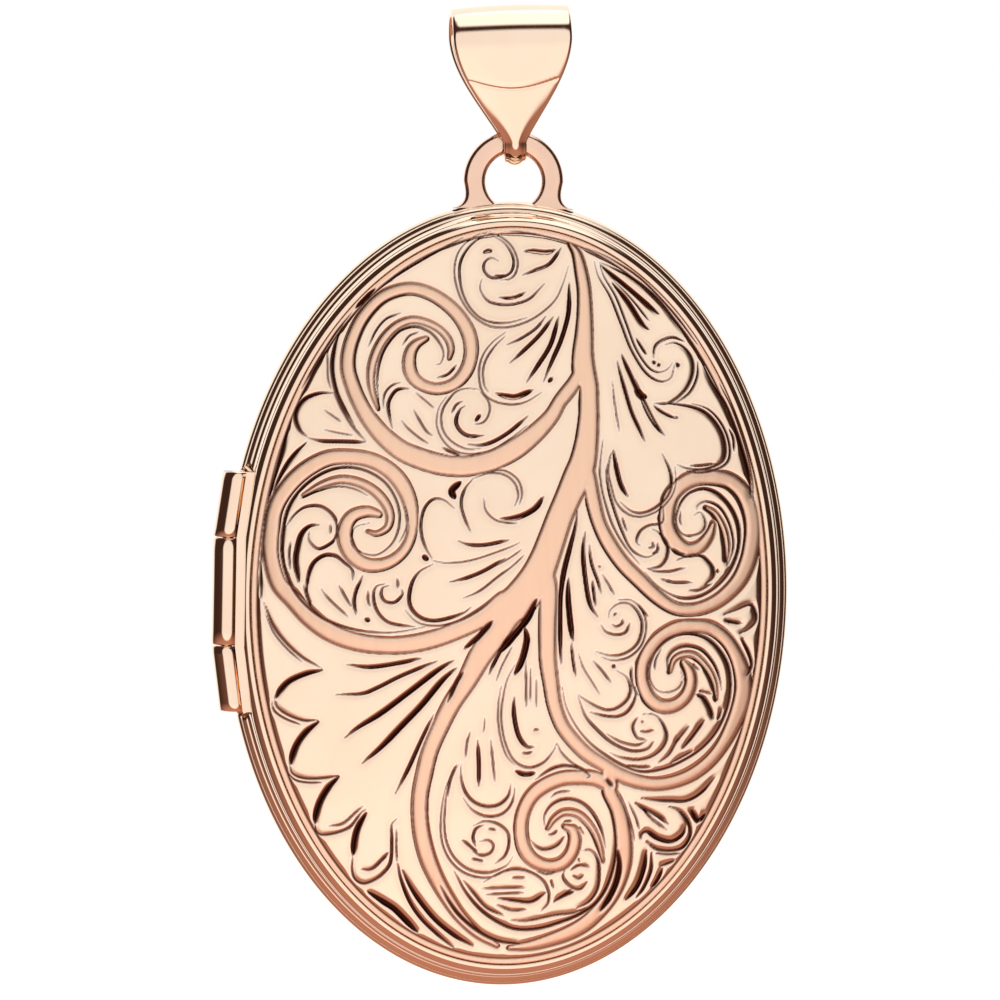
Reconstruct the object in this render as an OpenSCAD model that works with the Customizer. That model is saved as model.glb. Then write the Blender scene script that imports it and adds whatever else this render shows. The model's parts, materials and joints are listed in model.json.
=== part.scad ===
// Oval photo locket: two hinged halves on a hanger loop, hung from a folded bail.
// Millimetres. X points right when the engraved front is seen, the front faces -Y, +Z is up.
// The origin is the middle of the chain passage inside the top of the bail.

/* [Case] */
// Width of the closed oval case
body_width = 25.2; // [20:0.1:32]
// Height of the closed oval case, without the hanger loop
body_height = 35; // [28:0.1:46]
// Radius of the round bead that runs along the widest line of the case
bead_radius = 0.55; // [0.45:0.01:0.7]
// How far the parting line lies in front of the widest line
parting_forward = 0.38; // [0.34:0.01:0.44]
// Inset of the narrow step between the bead and the front shoulder
step_inset = 0.47; // [0.4:0.01:0.55]
// Width of the round shoulder that frames the engraved front
shoulder_radius = 0.4; // [0.34:0.01:0.5]
// Height of the front shoulder above the widest line
front_shoulder = 1.85; // [1.75:0.01:2.4]
// Height of the back shoulder behind the widest line
back_shoulder = 1.4; // [1.3:0.01:2]
// Swell of the engraved front above its shoulder
front_swell = 1.6; // [0.8:0.05:2.2]
// Swell of the plain back above its shoulder
back_swell = 1.35; // [0.8:0.05:2.2]
// Sheet thickness of the two domed shells
shell_wall = 0.35; // [0.25:0.01:0.4]

/* [Rim and snap lip] */
// Inset of the inner wall of both rims
rim_inner = 1.1; // [1.05:0.01:1.4]
// Sheet thickness of the snap lip
lip_wall = 0.3; // [0.2:0.01:0.4]
// How far the lip stands up into the front half
lip_height = 0.4; // [0.2:0.01:0.4]
// Running clearance between the lip and the front rim
lip_clearance = 0.04; // [0.03:0.01:0.08]
// Radius of the small round pip that makes the lip snap shut
pip_radius = 0.16; // [0.14:0.01:0.18]
// Width of the ledge that carries the back backing plate
ledge_width = 0.8; // [0.5:0.05:1.2]

/* [Photo inserts] */
// Thickness of each oval photo frame
frame_wall = 0.25; // [0.15:0.01:0.25]
// Inset of the frames' oval opening
frame_opening = 2.5; // [2:0.05:3.5]
// Thickness of each clear window
window_wall = 0.1; // [0.06:0.01:0.1]
// Thickness of each photo card
card_wall = 0.1; // [0.05:0.01:0.1]
// Thickness of each backing plate
plate_wall = 0.2; // [0.1:0.01:0.2]
// Clearance round everything that lifts out of a half
insert_clearance = 0.04; // [0.02:0.01:0.08]

/* [Hinge] */
// Length of the middle knuckle, which belongs to the front half
middle_knuckle_length = 4.75; // [3.6:0.05:6]
// Length of each outer knuckle, which belongs to the back half
outer_knuckle_length = 2.9; // [2:0.05:3.5]
// Outer radius of the hinge barrel
barrel_radius = 0.68; // [0.6:0.01:0.75]
// How far the hinge axis lies inside the widest line
axis_inset = 0.13; // [0.05:0.01:0.2]
// Gap between neighbouring knuckles
knuckle_gap = 0.06; // [0.04:0.01:0.1]
// Radius of the hinge pin
pin_radius = 0.25; // [0.2:0.01:0.3]
// Running clearance of the middle knuckle on the pin
pin_clearance = 0.02; // [0.01:0.01:0.05]
// Angle by which the outer knuckles follow the oval
knuckle_tilt = 7.6; // [5:0.1:9]
// Thickness of the straps that join the barrel to the rims
strap_wall = 0.38; // [0.3:0.01:0.45]
// Depth of each strap, measured from the parting line
strap_depth = 0.85; // [0.7:0.01:0.9]

/* [Hanger loop] */
// Radius of the hole in the hanger loop
loop_hole_radius = 1.25; // [1.15:0.01:1.5]
// Width of the loop's flat band
loop_band = 0.98; // [0.9:0.01:1.1]
// Thickness of the loop
loop_wall = 0.6; // [0.55:0.01:0.64]
// Rounding of the loop's edges
loop_rounding = 0.25; // [0.2:0.01:0.27]
// Height of the loop's centre above the top of the case
loop_rise = 0.91; // [0.85:0.01:1]
// Radius of the solder fillet at each foot of the loop
foot_fillet = 0.3; // [0.2:0.01:0.35]

/* [Bail] */
// Sheet thickness of the bail
bail_wall = 0.27; // [0.2:0.01:0.32]
// Inner radius of the narrow fold that hangs in the loop
bail_fold_radius = 0.67; // [0.66:0.01:0.75]
// Inner radius of the wide fold that takes the chain
bail_top_radius = 1.3; // [1:0.05:1.6]
// Height of the bail above its pivot
bail_height = 6; // [5:0.1:7]
// Width of the bail at its top
bail_top_width = 5.3; // [4.4:0.1:6]
// Width of the bail at its narrow fold
bail_fold_width = 1; // [0.8:0.05:1.05]
// Angle by which the hanging bail leans to the hinge side
bail_lean = 3; // [0:0.5:4]

/* [Hidden] */
half_width = body_width / 2;
half_height = body_height / 2;
oval_facets = 180;
round_facets = 64;
reach = 40;

// Distances forward of the widest line
parting = parting_forward;
front_shoulder_low = front_shoulder - shoulder_radius;
back_shoulder_low = back_shoulder - shoulder_radius;
wall_lean = 0.13;
shoulder_inset = step_inset + wall_lean + shoulder_radius;
shoulder_land = 0.06;
shell_inset = shoulder_inset + shoulder_land;
lip_headroom = 0.05;
front_frame_low = parting + lip_height + lip_headroom;
front_window_low = front_frame_low + frame_wall;
front_card_low = front_window_low + window_wall;
front_plate_low = front_card_low + card_wall;
front_seat = front_plate_low + plate_wall;
frame_recess = 0.1;
back_frame_high = parting - frame_recess;
back_window_high = back_frame_high - frame_wall;
back_card_high = back_window_high - window_wall;
back_plate_high = back_card_high - card_wall;
back_seat = back_plate_high - plate_wall;
ledge_wall = 0.25;
back_shell_depth = 0.4;
back_shell_seat = back_shoulder - back_shell_depth;
shell_foot = 0.45;

// Insets of the snap lip and of what lies inside each half
lip_outer = rim_inner + lip_clearance;
lip_inner = rim_inner + lip_wall;
front_insert = rim_inner + insert_clearance;
back_insert = lip_inner + insert_clearance;
pip_sink = 0.1;
pip_x = half_width - lip_outer - pip_sink;
pip_forward = parting + lip_height / 2;

// Hinge line
axis_x = -(half_width - axis_inset);
middle_half = middle_knuckle_length / 2;
outer_start = middle_half + knuckle_gap;
hinge_half = outer_start + outer_knuckle_length;
sweep_clearance = 0.04;
seat_distance = barrel_radius + sweep_clearance;
tilt_shift = outer_knuckle_length * tan(knuckle_tilt);
strap_near = seat_distance - strap_wall;
strap_gap = 0.04;

// Hanger loop and bail, measured from the middle of the case
loop_outer_radius = loop_hole_radius + loop_band;
loop_z = half_height + loop_rise;
pivot_z = loop_z + loop_hole_radius + loop_band / 2;
foot_tuck = 0.11;
foot_x = loop_outer_radius - foot_tuck;
foot_root = 1;
foot_setback = 0.04;
fillet_sink = 0.22;
passage_rise = bail_height - bail_wall - bail_top_radius;
passage_x = -passage_rise * sin(bail_lean);
passage_z = pivot_z + passage_rise * cos(bail_lean);
bail_taper_height = 0.8 * bail_height;
bail_taper_power = 1.12;
bail_corner = 0.3;
bail_outline_spare = 0.2;

// Colours
rose_gold = [0.93, 0.72, 0.60];
inner_gold = [0.90, 0.68, 0.55];
clear_sheet = [0.85, 0.92, 0.95, 0.4];
card_paper = [0.95, 0.92, 0.86];
plate_brass = [0.85, 0.66, 0.40];

// Puts what is drawn round the middle of the case into the part's own frame
module placed() {
    translate([-passage_x, 0, -passage_z]) children();
}

// Repeats a child drawn in one quarter of the oval in the other three
module four_quarters() {
    for (side = [0, 1], end = [0, 1])
        mirror([side, 0, 0]) mirror([0, 0, end]) children();
}

// Straight-walled oval slab between two distances forward of the widest line
module oval_slab(inset, low, high) {
    four_quarters()
        rotate([90, 0, 0]) translate([0, 0, low]) linear_extrude(high - low)
            scale([half_width - inset, half_height - inset]) intersection() {
                circle(r = 1, $fn = oval_facets);
                square(2);
            }
}

// Oval turned form: the child is a half profile of radius and forward distance
module oval_turned(inset) {
    four_quarters()
        rotate([90, 0, 0])
            scale([(half_width - inset) / (half_height - inset), 1, 1])
                rotate_extrude(angle = 90, $fn = oval_facets) children();
}

// Flat oval sheet or, with an opening inset, a flat oval frame
module oval_frame(outer, opening, low, high) {
    difference() {
        oval_slab(outer, low, high);
        oval_slab(opening, low - 1, high + 1);
    }
}

// Half profile of one side of the rim: bead, step, wall and round shoulder
module rim_profile(shoulder, shoulder_low) {
    translate([half_height - bead_radius, 0]) circle(r = bead_radius, $fn = round_facets);
    translate([0, -bead_radius]) square([half_height - bead_radius, 2 * bead_radius]);
    polygon([
        [0, 0],
        [half_height - step_inset, 0],
        [half_height - step_inset - wall_lean, shoulder_low],
        [half_height - shoulder_inset, shoulder],
        [0, shoulder]
    ]);
    translate([half_height - shoulder_inset, shoulder_low])
        circle(r = shoulder_radius, $fn = round_facets);
}

// Half profile of a domed shell that stands on a narrow foot
module dome_profile(edge, swell, foot) {
    edge_radius = half_height - shell_inset;
    dome_radius = (edge_radius * edge_radius + swell * swell) / (2 * swell);
    centre = edge + swell - dome_radius;
    difference() {
        intersection() {
            translate([0, centre]) circle(r = dome_radius, $fn = 4 * oval_facets);
            translate([0, foot]) square([edge_radius, edge + swell]);
        }
        intersection() {
            translate([0, centre]) circle(r = dome_radius - shell_wall, $fn = 4 * oval_facets);
            translate([0, -reach]) square([edge_radius - shell_foot, 2 * reach]);
        }
        translate([0, -reach]) square([edge_radius - shell_foot, reach + foot]);
    }
}

// Moves a child from the hinge axis at the middle of the case out to one outer knuckle
module at_outer_knuckle(side) {
    translate([axis_x, -parting, side * outer_start])
        mirror([0, 0, side < 0 ? 1 : 0])
            rotate([0, knuckle_tilt, 0]) children();
}

// Keeps a child between the outer faces of one outer knuckle, or a little past its far end
module outer_knuckle_length_only(side, past = 0) {
    length = outer_knuckle_length + past;
    intersection() {
        children();
        translate([axis_x - reach / 2, -reach / 2, side > 0 ? outer_start : -outer_start - length])
            cube([reach, reach, length]);
    }
}

// Flat strip that follows the hinge, between two distances from the barrel's axis
module hinge_strip(near, far, low, high, past = 0) {
    width = far - near;
    outer_end = outer_knuckle_length + 1;
    translate([axis_x + near, -parting - high, -outer_start])
        cube([width, high - low, 2 * outer_start]);
    for (side = [-1, 1])
        outer_knuckle_length_only(side, past)
            at_outer_knuckle(side)
                translate([near, -high, -1]) cube([width, high - low, outer_end + 1]);
}

// Room in both rims for the hinge, with clearance for what turns
module hinge_seat() {
    hinge_strip(-2, seat_distance, -reach / 2, reach / 2, sweep_clearance);
}

// Space that the tilted outer knuckles sweep as the front half turns round them
module knuckle_sweep() {
    translate([axis_x, -parting, 0]) {
        for (side = [-1, 1])
            mirror([0, 0, side < 0 ? 1 : 0])
                translate([0, 0, middle_half])
                    cylinder(
                        h = hinge_half - middle_half + knuckle_gap,
                        r1 = barrel_radius + sweep_clearance,
                        r2 = barrel_radius + tilt_shift + sweep_clearance,
                        $fn = round_facets
                    );
    }
}

// Barrel of one outer knuckle, without its bore
module outer_barrel(side) {
    outer_knuckle_length_only(side)
        at_outer_knuckle(side)
            translate([0, 0, -1])
                cylinder(h = outer_knuckle_length + 2, r = barrel_radius, $fn = round_facets);
}

// Round bar along the hinge axis
module axis_bar(radius, half_length) {
    translate([axis_x, -parting, -half_length])
        cylinder(h = 2 * half_length, r = radius, $fn = round_facets);
}

module outer_knuckle(side) {
    difference() {
        outer_barrel(side);
        axis_bar(pin_radius, reach);
    }
}

module upper_knuckle() {
    color(rose_gold) placed() outer_knuckle(1);
}

module lower_knuckle() {
    color(rose_gold) placed() outer_knuckle(-1);
}

module middle_knuckle() {
    color(rose_gold) placed() difference() {
        axis_bar(barrel_radius, middle_half);
        axis_bar(pin_radius + pin_clearance, reach);
    }
}

module hinge_pin() {
    color(rose_gold) placed() axis_bar(pin_radius, hinge_half);
}

module back_hinge_strap() {
    color(rose_gold) placed() difference() {
        hinge_strip(strap_near, seat_distance, -strap_depth, -strap_gap);
        outer_barrel(1);
        outer_barrel(-1);
        axis_bar(barrel_radius + sweep_clearance, outer_start);
    }
}

module front_hinge_strap() {
    color(rose_gold) placed() difference() {
        hinge_strip(strap_near, seat_distance, strap_gap, strap_depth);
        knuckle_sweep();
        axis_bar(barrel_radius, middle_half);
    }
}

module front_rim() {
    color(rose_gold) placed() difference() {
        oval_turned(0) intersection() {
            rim_profile(front_shoulder, front_shoulder_low);
            translate([0, parting]) square([half_height + 1, reach]);
        }
        oval_slab(rim_inner, -1, front_seat);
        oval_slab(shell_inset, front_seat, reach);
        hinge_seat();
        translate([pip_x, -pip_forward, 0])
            sphere(r = pip_radius + lip_clearance, $fn = round_facets);
    }
}

module back_rim() {
    color(rose_gold) placed() difference() {
        mirror([0, 1, 0]) oval_turned(0) intersection() {
            rim_profile(back_shoulder, back_shoulder_low);
            translate([0, -parting]) square([half_height + 1, reach]);
        }
        oval_slab(rim_inner, back_seat, reach);
        oval_slab(rim_inner + ledge_width, back_seat - ledge_wall, reach);
        oval_slab(rim_inner, -back_shell_seat, back_seat - ledge_wall);
        oval_slab(shell_inset, -reach, -back_shell_seat);
        hinge_seat();
    }
}

module front_shell() {
    color(rose_gold) placed()
        oval_turned(shell_inset) dome_profile(front_shoulder, front_swell, front_seat);
}

module back_shell() {
    color(rose_gold) placed()
        mirror([0, 1, 0])
            oval_turned(shell_inset) dome_profile(back_shoulder, back_swell, back_shell_seat);
}

module snap_lip() {
    color(inner_gold) placed() difference() {
        union() {
            oval_slab(rim_inner, back_seat, parting);
            oval_slab(lip_outer, parting, parting + lip_height);
        }
        oval_slab(lip_inner, -reach, reach);
    }
}

module catch_pip() {
    color(inner_gold) placed() difference() {
        translate([pip_x, -pip_forward, 0])
            sphere(r = pip_radius, $fn = round_facets);
        oval_slab(lip_outer, -reach, reach);
    }
}

module front_photo_frame() {
    color(inner_gold) placed()
        oval_frame(front_insert, frame_opening, front_frame_low, front_window_low);
}

module front_window() {
    color(clear_sheet) placed() oval_slab(front_insert, front_window_low, front_card_low);
}

module front_photo_card() {
    color(card_paper) placed() oval_slab(front_insert, front_card_low, front_plate_low);
}

module front_backing_plate() {
    color(plate_brass) placed() oval_slab(front_insert, front_plate_low, front_seat);
}

module back_photo_frame() {
    color(inner_gold) placed()
        oval_frame(back_insert, frame_opening, back_window_high, back_frame_high);
}

module back_window() {
    color(clear_sheet) placed() oval_slab(back_insert, back_card_high, back_window_high);
}

module back_photo_card() {
    color(card_paper) placed() oval_slab(back_insert, back_plate_high, back_card_high);
}

module back_backing_plate() {
    color(plate_brass) placed() oval_slab(back_insert, back_seat, back_plate_high);
}

// Rounded cross section of the loop's flat band
module loop_section() {
    straight_band = loop_band - 2 * loop_rounding;
    straight_wall = loop_wall - 2 * loop_rounding;
    middle = loop_hole_radius + loop_band / 2;
    translate([middle - loop_band / 2, -straight_wall / 2]) square([loop_band, straight_wall]);
    translate([middle - straight_band / 2, -loop_wall / 2]) square([straight_band, loop_wall]);
    for (across = [-1, 1], through = [-1, 1])
        translate([middle + across * straight_band / 2, through * straight_wall / 2])
            circle(r = loop_rounding, $fn = round_facets);
}

// Outline of the two feet, seen from the front, with a solder fillet on the outside
module foot_outline() {
    bottom = half_height - foot_root;
    fillet_z = half_height + foot_fillet - fillet_sink;
    difference() {
        translate([-foot_x - foot_fillet, bottom])
            square([2 * (foot_x + foot_fillet), fillet_z - bottom]);
        for (side = [-1, 1])
            translate([side * (foot_x + foot_fillet), fillet_z])
                circle(r = foot_fillet, $fn = round_facets);
    }
    translate([-foot_x, bottom]) square([2 * foot_x, loop_z - bottom - loop_rise / 2]);
}

module hanger_loop() {
    color(rose_gold) placed() difference() {
        union() {
            translate([0, 0, loop_z]) rotate([90, 0, 0]) rotate_extrude($fn = oval_facets)
                loop_section();
            rotate([90, 0, 0]) translate([0, 0, foot_setback - loop_wall / 2])
                linear_extrude(loop_wall - 2 * foot_setback) foot_outline();
        }
        translate([0, 0, loop_z]) rotate([90, 0, 0]) translate([0, 0, -1])
            cylinder(h = 2, r = loop_hole_radius, $fn = oval_facets);
        oval_turned(0) rim_profile(front_shoulder, front_shoulder_low);
    }
}

// Closed side outline of the bail: two round folds and the straight legs between them
module teardrop(low_radius, top_radius, rise) {
    lean = asin((top_radius - low_radius) / rise);
    circle(r = low_radius, $fn = round_facets);
    translate([0, rise]) circle(r = top_radius, $fn = round_facets);
    polygon([
        [low_radius * cos(lean), -low_radius * sin(lean)],
        [top_radius * cos(lean), rise - top_radius * sin(lean)],
        [-top_radius * cos(lean), rise - top_radius * sin(lean)],
        [-low_radius * cos(lean), -low_radius * sin(lean)]
    ]);
}

// Half width of the bail at a height above the pivot
function bail_half_width(height) =
    let (
        low = bail_fold_width / 2,
        high = bail_top_width / 2,
        share = max(0, min(1, height / bail_taper_height))
    )
    low + (high - low) * sin(90 * pow(share, bail_taper_power));

// Front outline of the bail
module bail_outline() {
    steps = 14;
    bottom = -bail_fold_radius - bail_wall - 1;
    side = [for (i = [0 : steps])
        let (height = i / steps * bail_taper_height) [bail_half_width(height), height]];
    top = [
        [bail_top_width / 2, bail_height - bail_corner],
        [bail_top_width / 2 - bail_corner, bail_height + bail_outline_spare]
    ];
    right = concat([[bail_fold_width / 2, bottom]], side, top);
    left = [for (i = [len(right) - 1 : -1 : 0]) [-right[i][0], right[i][1]]];
    polygon(concat(right, left));
}

module bail() {
    color(rose_gold) placed() translate([0, 0, pivot_z]) rotate([0, -bail_lean, 0])
        intersection() {
            translate([-bail_top_width, 0, 0]) rotate([90, 0, 90])
                linear_extrude(2 * bail_top_width) difference() {
                    teardrop(
                        bail_fold_radius + bail_wall,
                        bail_top_radius + bail_wall,
                        passage_rise
                    );
                    teardrop(bail_fold_radius, bail_top_radius, passage_rise);
                }
            rotate([90, 0, 0]) translate([0, 0, -reach / 2])
                linear_extrude(reach) bail_outline();
        }
}

bail();
hanger_loop();
back_shell();
back_rim();
snap_lip();
catch_pip();
back_backing_plate();
back_photo_card();
back_window();
back_photo_frame();
back_hinge_strap();
upper_knuckle();
lower_knuckle();
hinge_pin();
front_shell();
front_rim();
front_backing_plate();
front_photo_card();
front_window();
front_photo_frame();
front_hinge_strap();
middle_knuckle();
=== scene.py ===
"""Rose gold oval locket on a folded bail, with a hand-engraved scroll front that opens on a side hinge."""

import bpy
import json
import math
import numpy as np
from mathutils import Matrix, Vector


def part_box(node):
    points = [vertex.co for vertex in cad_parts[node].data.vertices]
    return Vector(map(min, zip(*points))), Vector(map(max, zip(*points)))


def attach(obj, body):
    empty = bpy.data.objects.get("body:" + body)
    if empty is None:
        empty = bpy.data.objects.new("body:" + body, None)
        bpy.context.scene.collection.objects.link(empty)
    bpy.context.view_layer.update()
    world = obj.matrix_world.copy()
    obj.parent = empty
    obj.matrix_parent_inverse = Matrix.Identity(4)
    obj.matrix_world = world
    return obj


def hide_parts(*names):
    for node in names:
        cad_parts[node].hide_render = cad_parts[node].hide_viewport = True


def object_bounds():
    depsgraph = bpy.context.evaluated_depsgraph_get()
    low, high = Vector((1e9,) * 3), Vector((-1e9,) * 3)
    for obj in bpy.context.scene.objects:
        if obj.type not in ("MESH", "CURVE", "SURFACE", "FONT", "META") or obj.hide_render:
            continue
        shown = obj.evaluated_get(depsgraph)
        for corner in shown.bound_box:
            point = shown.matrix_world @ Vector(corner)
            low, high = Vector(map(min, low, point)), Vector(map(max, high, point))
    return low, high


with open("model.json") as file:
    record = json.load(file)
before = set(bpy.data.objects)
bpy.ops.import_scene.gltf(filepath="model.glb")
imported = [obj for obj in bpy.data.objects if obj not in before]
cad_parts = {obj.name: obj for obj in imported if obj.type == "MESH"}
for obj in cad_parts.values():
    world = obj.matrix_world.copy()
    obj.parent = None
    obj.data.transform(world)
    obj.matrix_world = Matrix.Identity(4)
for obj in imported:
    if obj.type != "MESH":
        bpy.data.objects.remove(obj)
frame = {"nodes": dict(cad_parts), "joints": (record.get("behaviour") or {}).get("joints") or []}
cad_box = [list(corner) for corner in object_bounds()]

# ---------------------------------------------------------------------------
# Back rim
# The fixed half's edge: a round bead along the widest line, a slanting wall
# and a round shoulder. It is drawn rose gold strip, soldered to the back.
# ---------------------------------------------------------------------------
# Sizes are in millimetres up to make_piece, which turns them into metres.
MM = 0.001


def box_mm(node):
    """Lowest and highest corners of a CAD node in millimetres."""
    low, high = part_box(node)
    return np.array(low) / MM, np.array(high) / MM


window_low, window_high = box_mm("front_window")
back_low, back_high = box_mm("back_rim")
shell_low, shell_high = box_mm("front_shell")
case_x, case_z = (window_low[0] + window_high[0]) / 2, (window_low[2] + window_high[2]) / 2
half_width = back_high[0] - case_x
half_height = (back_high[2] - back_low[2]) / 2
parting = -back_low[1]
shell_inset = half_height - (shell_high[2] - shell_low[2]) / 2

joint_places = {joint["name"]: np.array(joint["pos_m"]) / MM for joint in frame["joints"]}
axis_x, axis_y = joint_places["cover_hinge"][:2]
middle_low, middle_high = box_mm("middle_knuckle")
upper_low, upper_high = box_mm("upper_knuckle")
barrel_radius = (middle_high[1] - middle_low[1]) / 2
outer_start = upper_low[2] - case_z
hinge_half = upper_high[2] - case_z
hinge_slope = (upper_high[0] - upper_low[0] - 2 * barrel_radius) / (hinge_half - outer_start)
seat_gap = 0.04

# The rim's section, outside to inside. Insets run in from the case's widest line.
bead_radius = 0.55
bead_end = 82
wall_foot_inset = 0.47
wall_lean = 0.13
shoulder_radius = 0.40
shoulder_inset = wall_foot_inset + wall_lean + shoulder_radius
back_shoulder = 1.4
inner_wall_inset = 1.1
edge_break = 0.02
seat_edge_break = 0.03
seat_slope = 0.05
back_seat_depth = 0.2
parting_play = 0.005
parting_face_inset = 0.2
oval_steps = 480


def oval_point(turn, inset, forward):
    """A point inset from the case's widest oval along its own normal, in millimetres of the frame."""
    x, z = half_width * np.cos(turn), half_height * np.sin(turn)
    nx, nz = half_height * np.cos(turn), half_width * np.sin(turn)
    length = np.hypot(nx, nz)
    return np.stack([case_x + x - inset * nx / length,
                     -forward + 0 * x,
                     case_z + z - inset * nz / length], -1)


def arc(centre, radius, start, end, steps):
    """Points on an arc in an (inset, forward) profile; angles in degrees, 0 pointing outwards."""
    turns = np.radians(np.linspace(start, end, steps + 1))
    return [(centre[0] - radius * math.cos(a), centre[1] + radius * math.sin(a)) for a in turns]


def bead_angle(forward):
    """Where round the bead, in degrees, its surface stands this far forward of its middle."""
    return math.degrees(math.asin(forward / bead_radius))


def seat_plane(z):
    """How far left the rims may reach beside the hinge, at heights z above the middle of the case."""
    plane = axis_x + barrel_radius + seat_gap + hinge_slope * np.clip(np.abs(z) - outer_start, 0, None)
    return np.where(np.abs(z) < hinge_half + seat_gap, plane, -np.inf)


def make_piece(name, points, faces, body, nodes, material):
    """Builds a mesh from millimetre points, shades it smooth and hangs it on its body."""
    mesh = bpy.data.meshes.new(name)
    mesh.from_pydata((np.asarray(points, float) * MM).tolist(), [], [list(map(int, f)) for f in faces])
    mesh.validate()
    mesh.update()
    mesh.shade_smooth()
    piece = bpy.data.objects.new(name, mesh)
    bpy.context.scene.collection.objects.link(piece)
    mesh.materials.append(material)
    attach(piece, body)
    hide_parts(*nodes)
    return piece


def grid_faces(rows, columns, rows_closed=True, columns_closed=True):
    """Quads of a grid of points numbered row by row."""
    row = np.arange(rows if rows_closed else rows - 1)[:, None]
    column = np.arange(columns if columns_closed else columns - 1)[None, :]
    next_row, next_column = (row + 1) % rows, (column + 1) % columns
    corners = [row * columns + column, row * columns + next_column,
               next_row * columns + next_column, next_row * columns + column]
    return np.stack([np.broadcast_to(c, (row.size, column.size)) for c in corners], -1).reshape(-1, 4)


def rim_points(profile, turns):
    """Sweeps an (inset, forward) profile round the oval and keeps it clear of the hinge."""
    rows = np.stack([oval_point(turns, inset, forward) for inset, forward in profile], 1)
    left = rows[..., 0] < case_x
    plane = seat_plane(rows[..., 2] - case_z)
    rows[..., 0] = np.where(left, np.maximum(rows[..., 0], plane), rows[..., 0])
    return rows


def tone_group():
    """Shared finish: soft clouds of tone and fine rubbed lines, for every gold surface."""
    group = bpy.data.node_groups.new("handled_metal", "ShaderNodeTree")
    for label, value in (("Cloud size", 300.0), ("Line size", 4000.0)):
        socket = group.interface.new_socket(label, in_out="INPUT", socket_type="NodeSocketFloat")
        socket.default_value = value
    for label in ("Tone", "Rubbed"):
        group.interface.new_socket(label, in_out="OUTPUT", socket_type="NodeSocketFloat")
    node, link = group.nodes.new, group.links.new
    way_in, way_out = node("NodeGroupInput"), node("NodeGroupOutput")
    place = node("ShaderNodeTexCoord")
    cloud = node("ShaderNodeTexNoise")
    cloud.inputs["Detail"].default_value = 3.0
    stretch = node("ShaderNodeMapping")
    stretch.inputs["Scale"].default_value = (1.0, 0.25, 0.06)
    lines = node("ShaderNodeTexNoise")
    lines.inputs["Detail"].default_value = 2.0
    link(place.outputs["Object"], cloud.inputs["Vector"])
    link(way_in.outputs["Cloud size"], cloud.inputs["Scale"])
    link(place.outputs["Object"], stretch.inputs["Vector"])
    link(stretch.outputs["Vector"], lines.inputs["Vector"])
    link(way_in.outputs["Line size"], lines.inputs["Scale"])
    link(cloud.outputs["Fac"], way_out.inputs["Tone"])
    link(lines.outputs["Fac"], way_out.inputs["Rubbed"])
    return group


handled_metal = tone_group()


def metal(name, light, dark, smooth, rough, cloud_size=300.0, line_size=4000.0, line_depth=0.01):
    """A metal whose colour drifts between two tones and whose gloss drifts between two roughnesses."""
    material = bpy.data.materials.new(name)
    material.use_nodes = True
    tree = material.node_tree
    node, link = tree.nodes.new, tree.links.new
    shader = tree.nodes["Principled BSDF"]
    shader.inputs["Metallic"].default_value = 1.0
    finish = node("ShaderNodeGroup")
    finish.node_tree = handled_metal
    finish.inputs["Cloud size"].default_value = cloud_size
    finish.inputs["Line size"].default_value = line_size
    colour = node("ShaderNodeValToRGB")
    for stop, position, tint in zip(colour.color_ramp.elements, (0.35, 0.65), (dark, light)):
        stop.position = position
        stop.color = (*tint, 1)
    gloss = node("ShaderNodeMapRange")
    gloss.inputs["From Min"].default_value = 0.3
    gloss.inputs["From Max"].default_value = 0.7
    gloss.inputs["To Min"].default_value = smooth
    gloss.inputs["To Max"].default_value = rough
    bump = node("ShaderNodeBump")
    bump.inputs["Strength"].default_value = 0.3
    bump.inputs["Distance"].default_value = line_depth * MM
    link(finish.outputs["Tone"], colour.inputs["Fac"])
    link(colour.outputs["Color"], shader.inputs["Base Color"])
    link(finish.outputs["Rubbed"], gloss.inputs["Value"])
    link(gloss.outputs["Result"], shader.inputs["Roughness"])
    link(finish.outputs["Rubbed"], bump.inputs["Height"])
    link(bump.outputs["Normal"], shader.inputs["Normal"])
    return material


polished_gold = metal("polished_rose_gold", (0.96, 0.77, 0.60), (0.94, 0.73, 0.56), 0.06, 0.11,
                      line_depth=0.002)

back_rim_profile = (
    arc((bead_radius, 0), bead_radius, bead_angle(parting), -bead_end, steps=20)
    + arc((shoulder_inset, shoulder_radius - back_shoulder), shoulder_radius, 0, -90, steps=10)
    + [(shell_inset - edge_break, -back_shoulder),
       (shell_inset, -back_shoulder + seat_edge_break),
       (shell_inset, -back_shoulder + back_seat_depth),
       (inner_wall_inset, -back_shoulder + back_seat_depth + seat_slope),
       (inner_wall_inset, parting - edge_break),
       (inner_wall_inset - edge_break, parting - parting_play),
       (parting_face_inset, parting - parting_play)]
)
turns = np.linspace(0, 2 * math.pi, oval_steps, endpoint=False)
rows = rim_points(back_rim_profile, turns)
make_piece("back_rim_strip", rows.reshape(-1, 3), grid_faces(len(turns), len(back_rim_profile)),
           "back", ["back_rim"], polished_gold)

# ---------------------------------------------------------------------------
# Front rim
# The cover's edge: it closes on the back rim at a fine parting line and has
# the taller wall and shoulder. Rose gold strip, soldered to the cover.
# ---------------------------------------------------------------------------
front_shoulder = 1.85
front_seat_depth = 0.25
front_rim_profile = (
    [(inner_wall_inset - edge_break, parting + parting_play),
     (parting_face_inset, parting + 2 * parting_play)]
    + arc((bead_radius, 0), bead_radius, bead_angle(parting + edge_break), bead_end, steps=6)
    + arc((shoulder_inset, front_shoulder - shoulder_radius), shoulder_radius, 0, 90, steps=12)
    + [(shell_inset - edge_break, front_shoulder),
       (shell_inset, front_shoulder - seat_edge_break),
       (shell_inset, front_shoulder - front_seat_depth),
       (inner_wall_inset, front_shoulder - front_seat_depth - seat_slope),
       (inner_wall_inset, parting + edge_break)]
)
rows = rim_points(front_rim_profile, turns)
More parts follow.
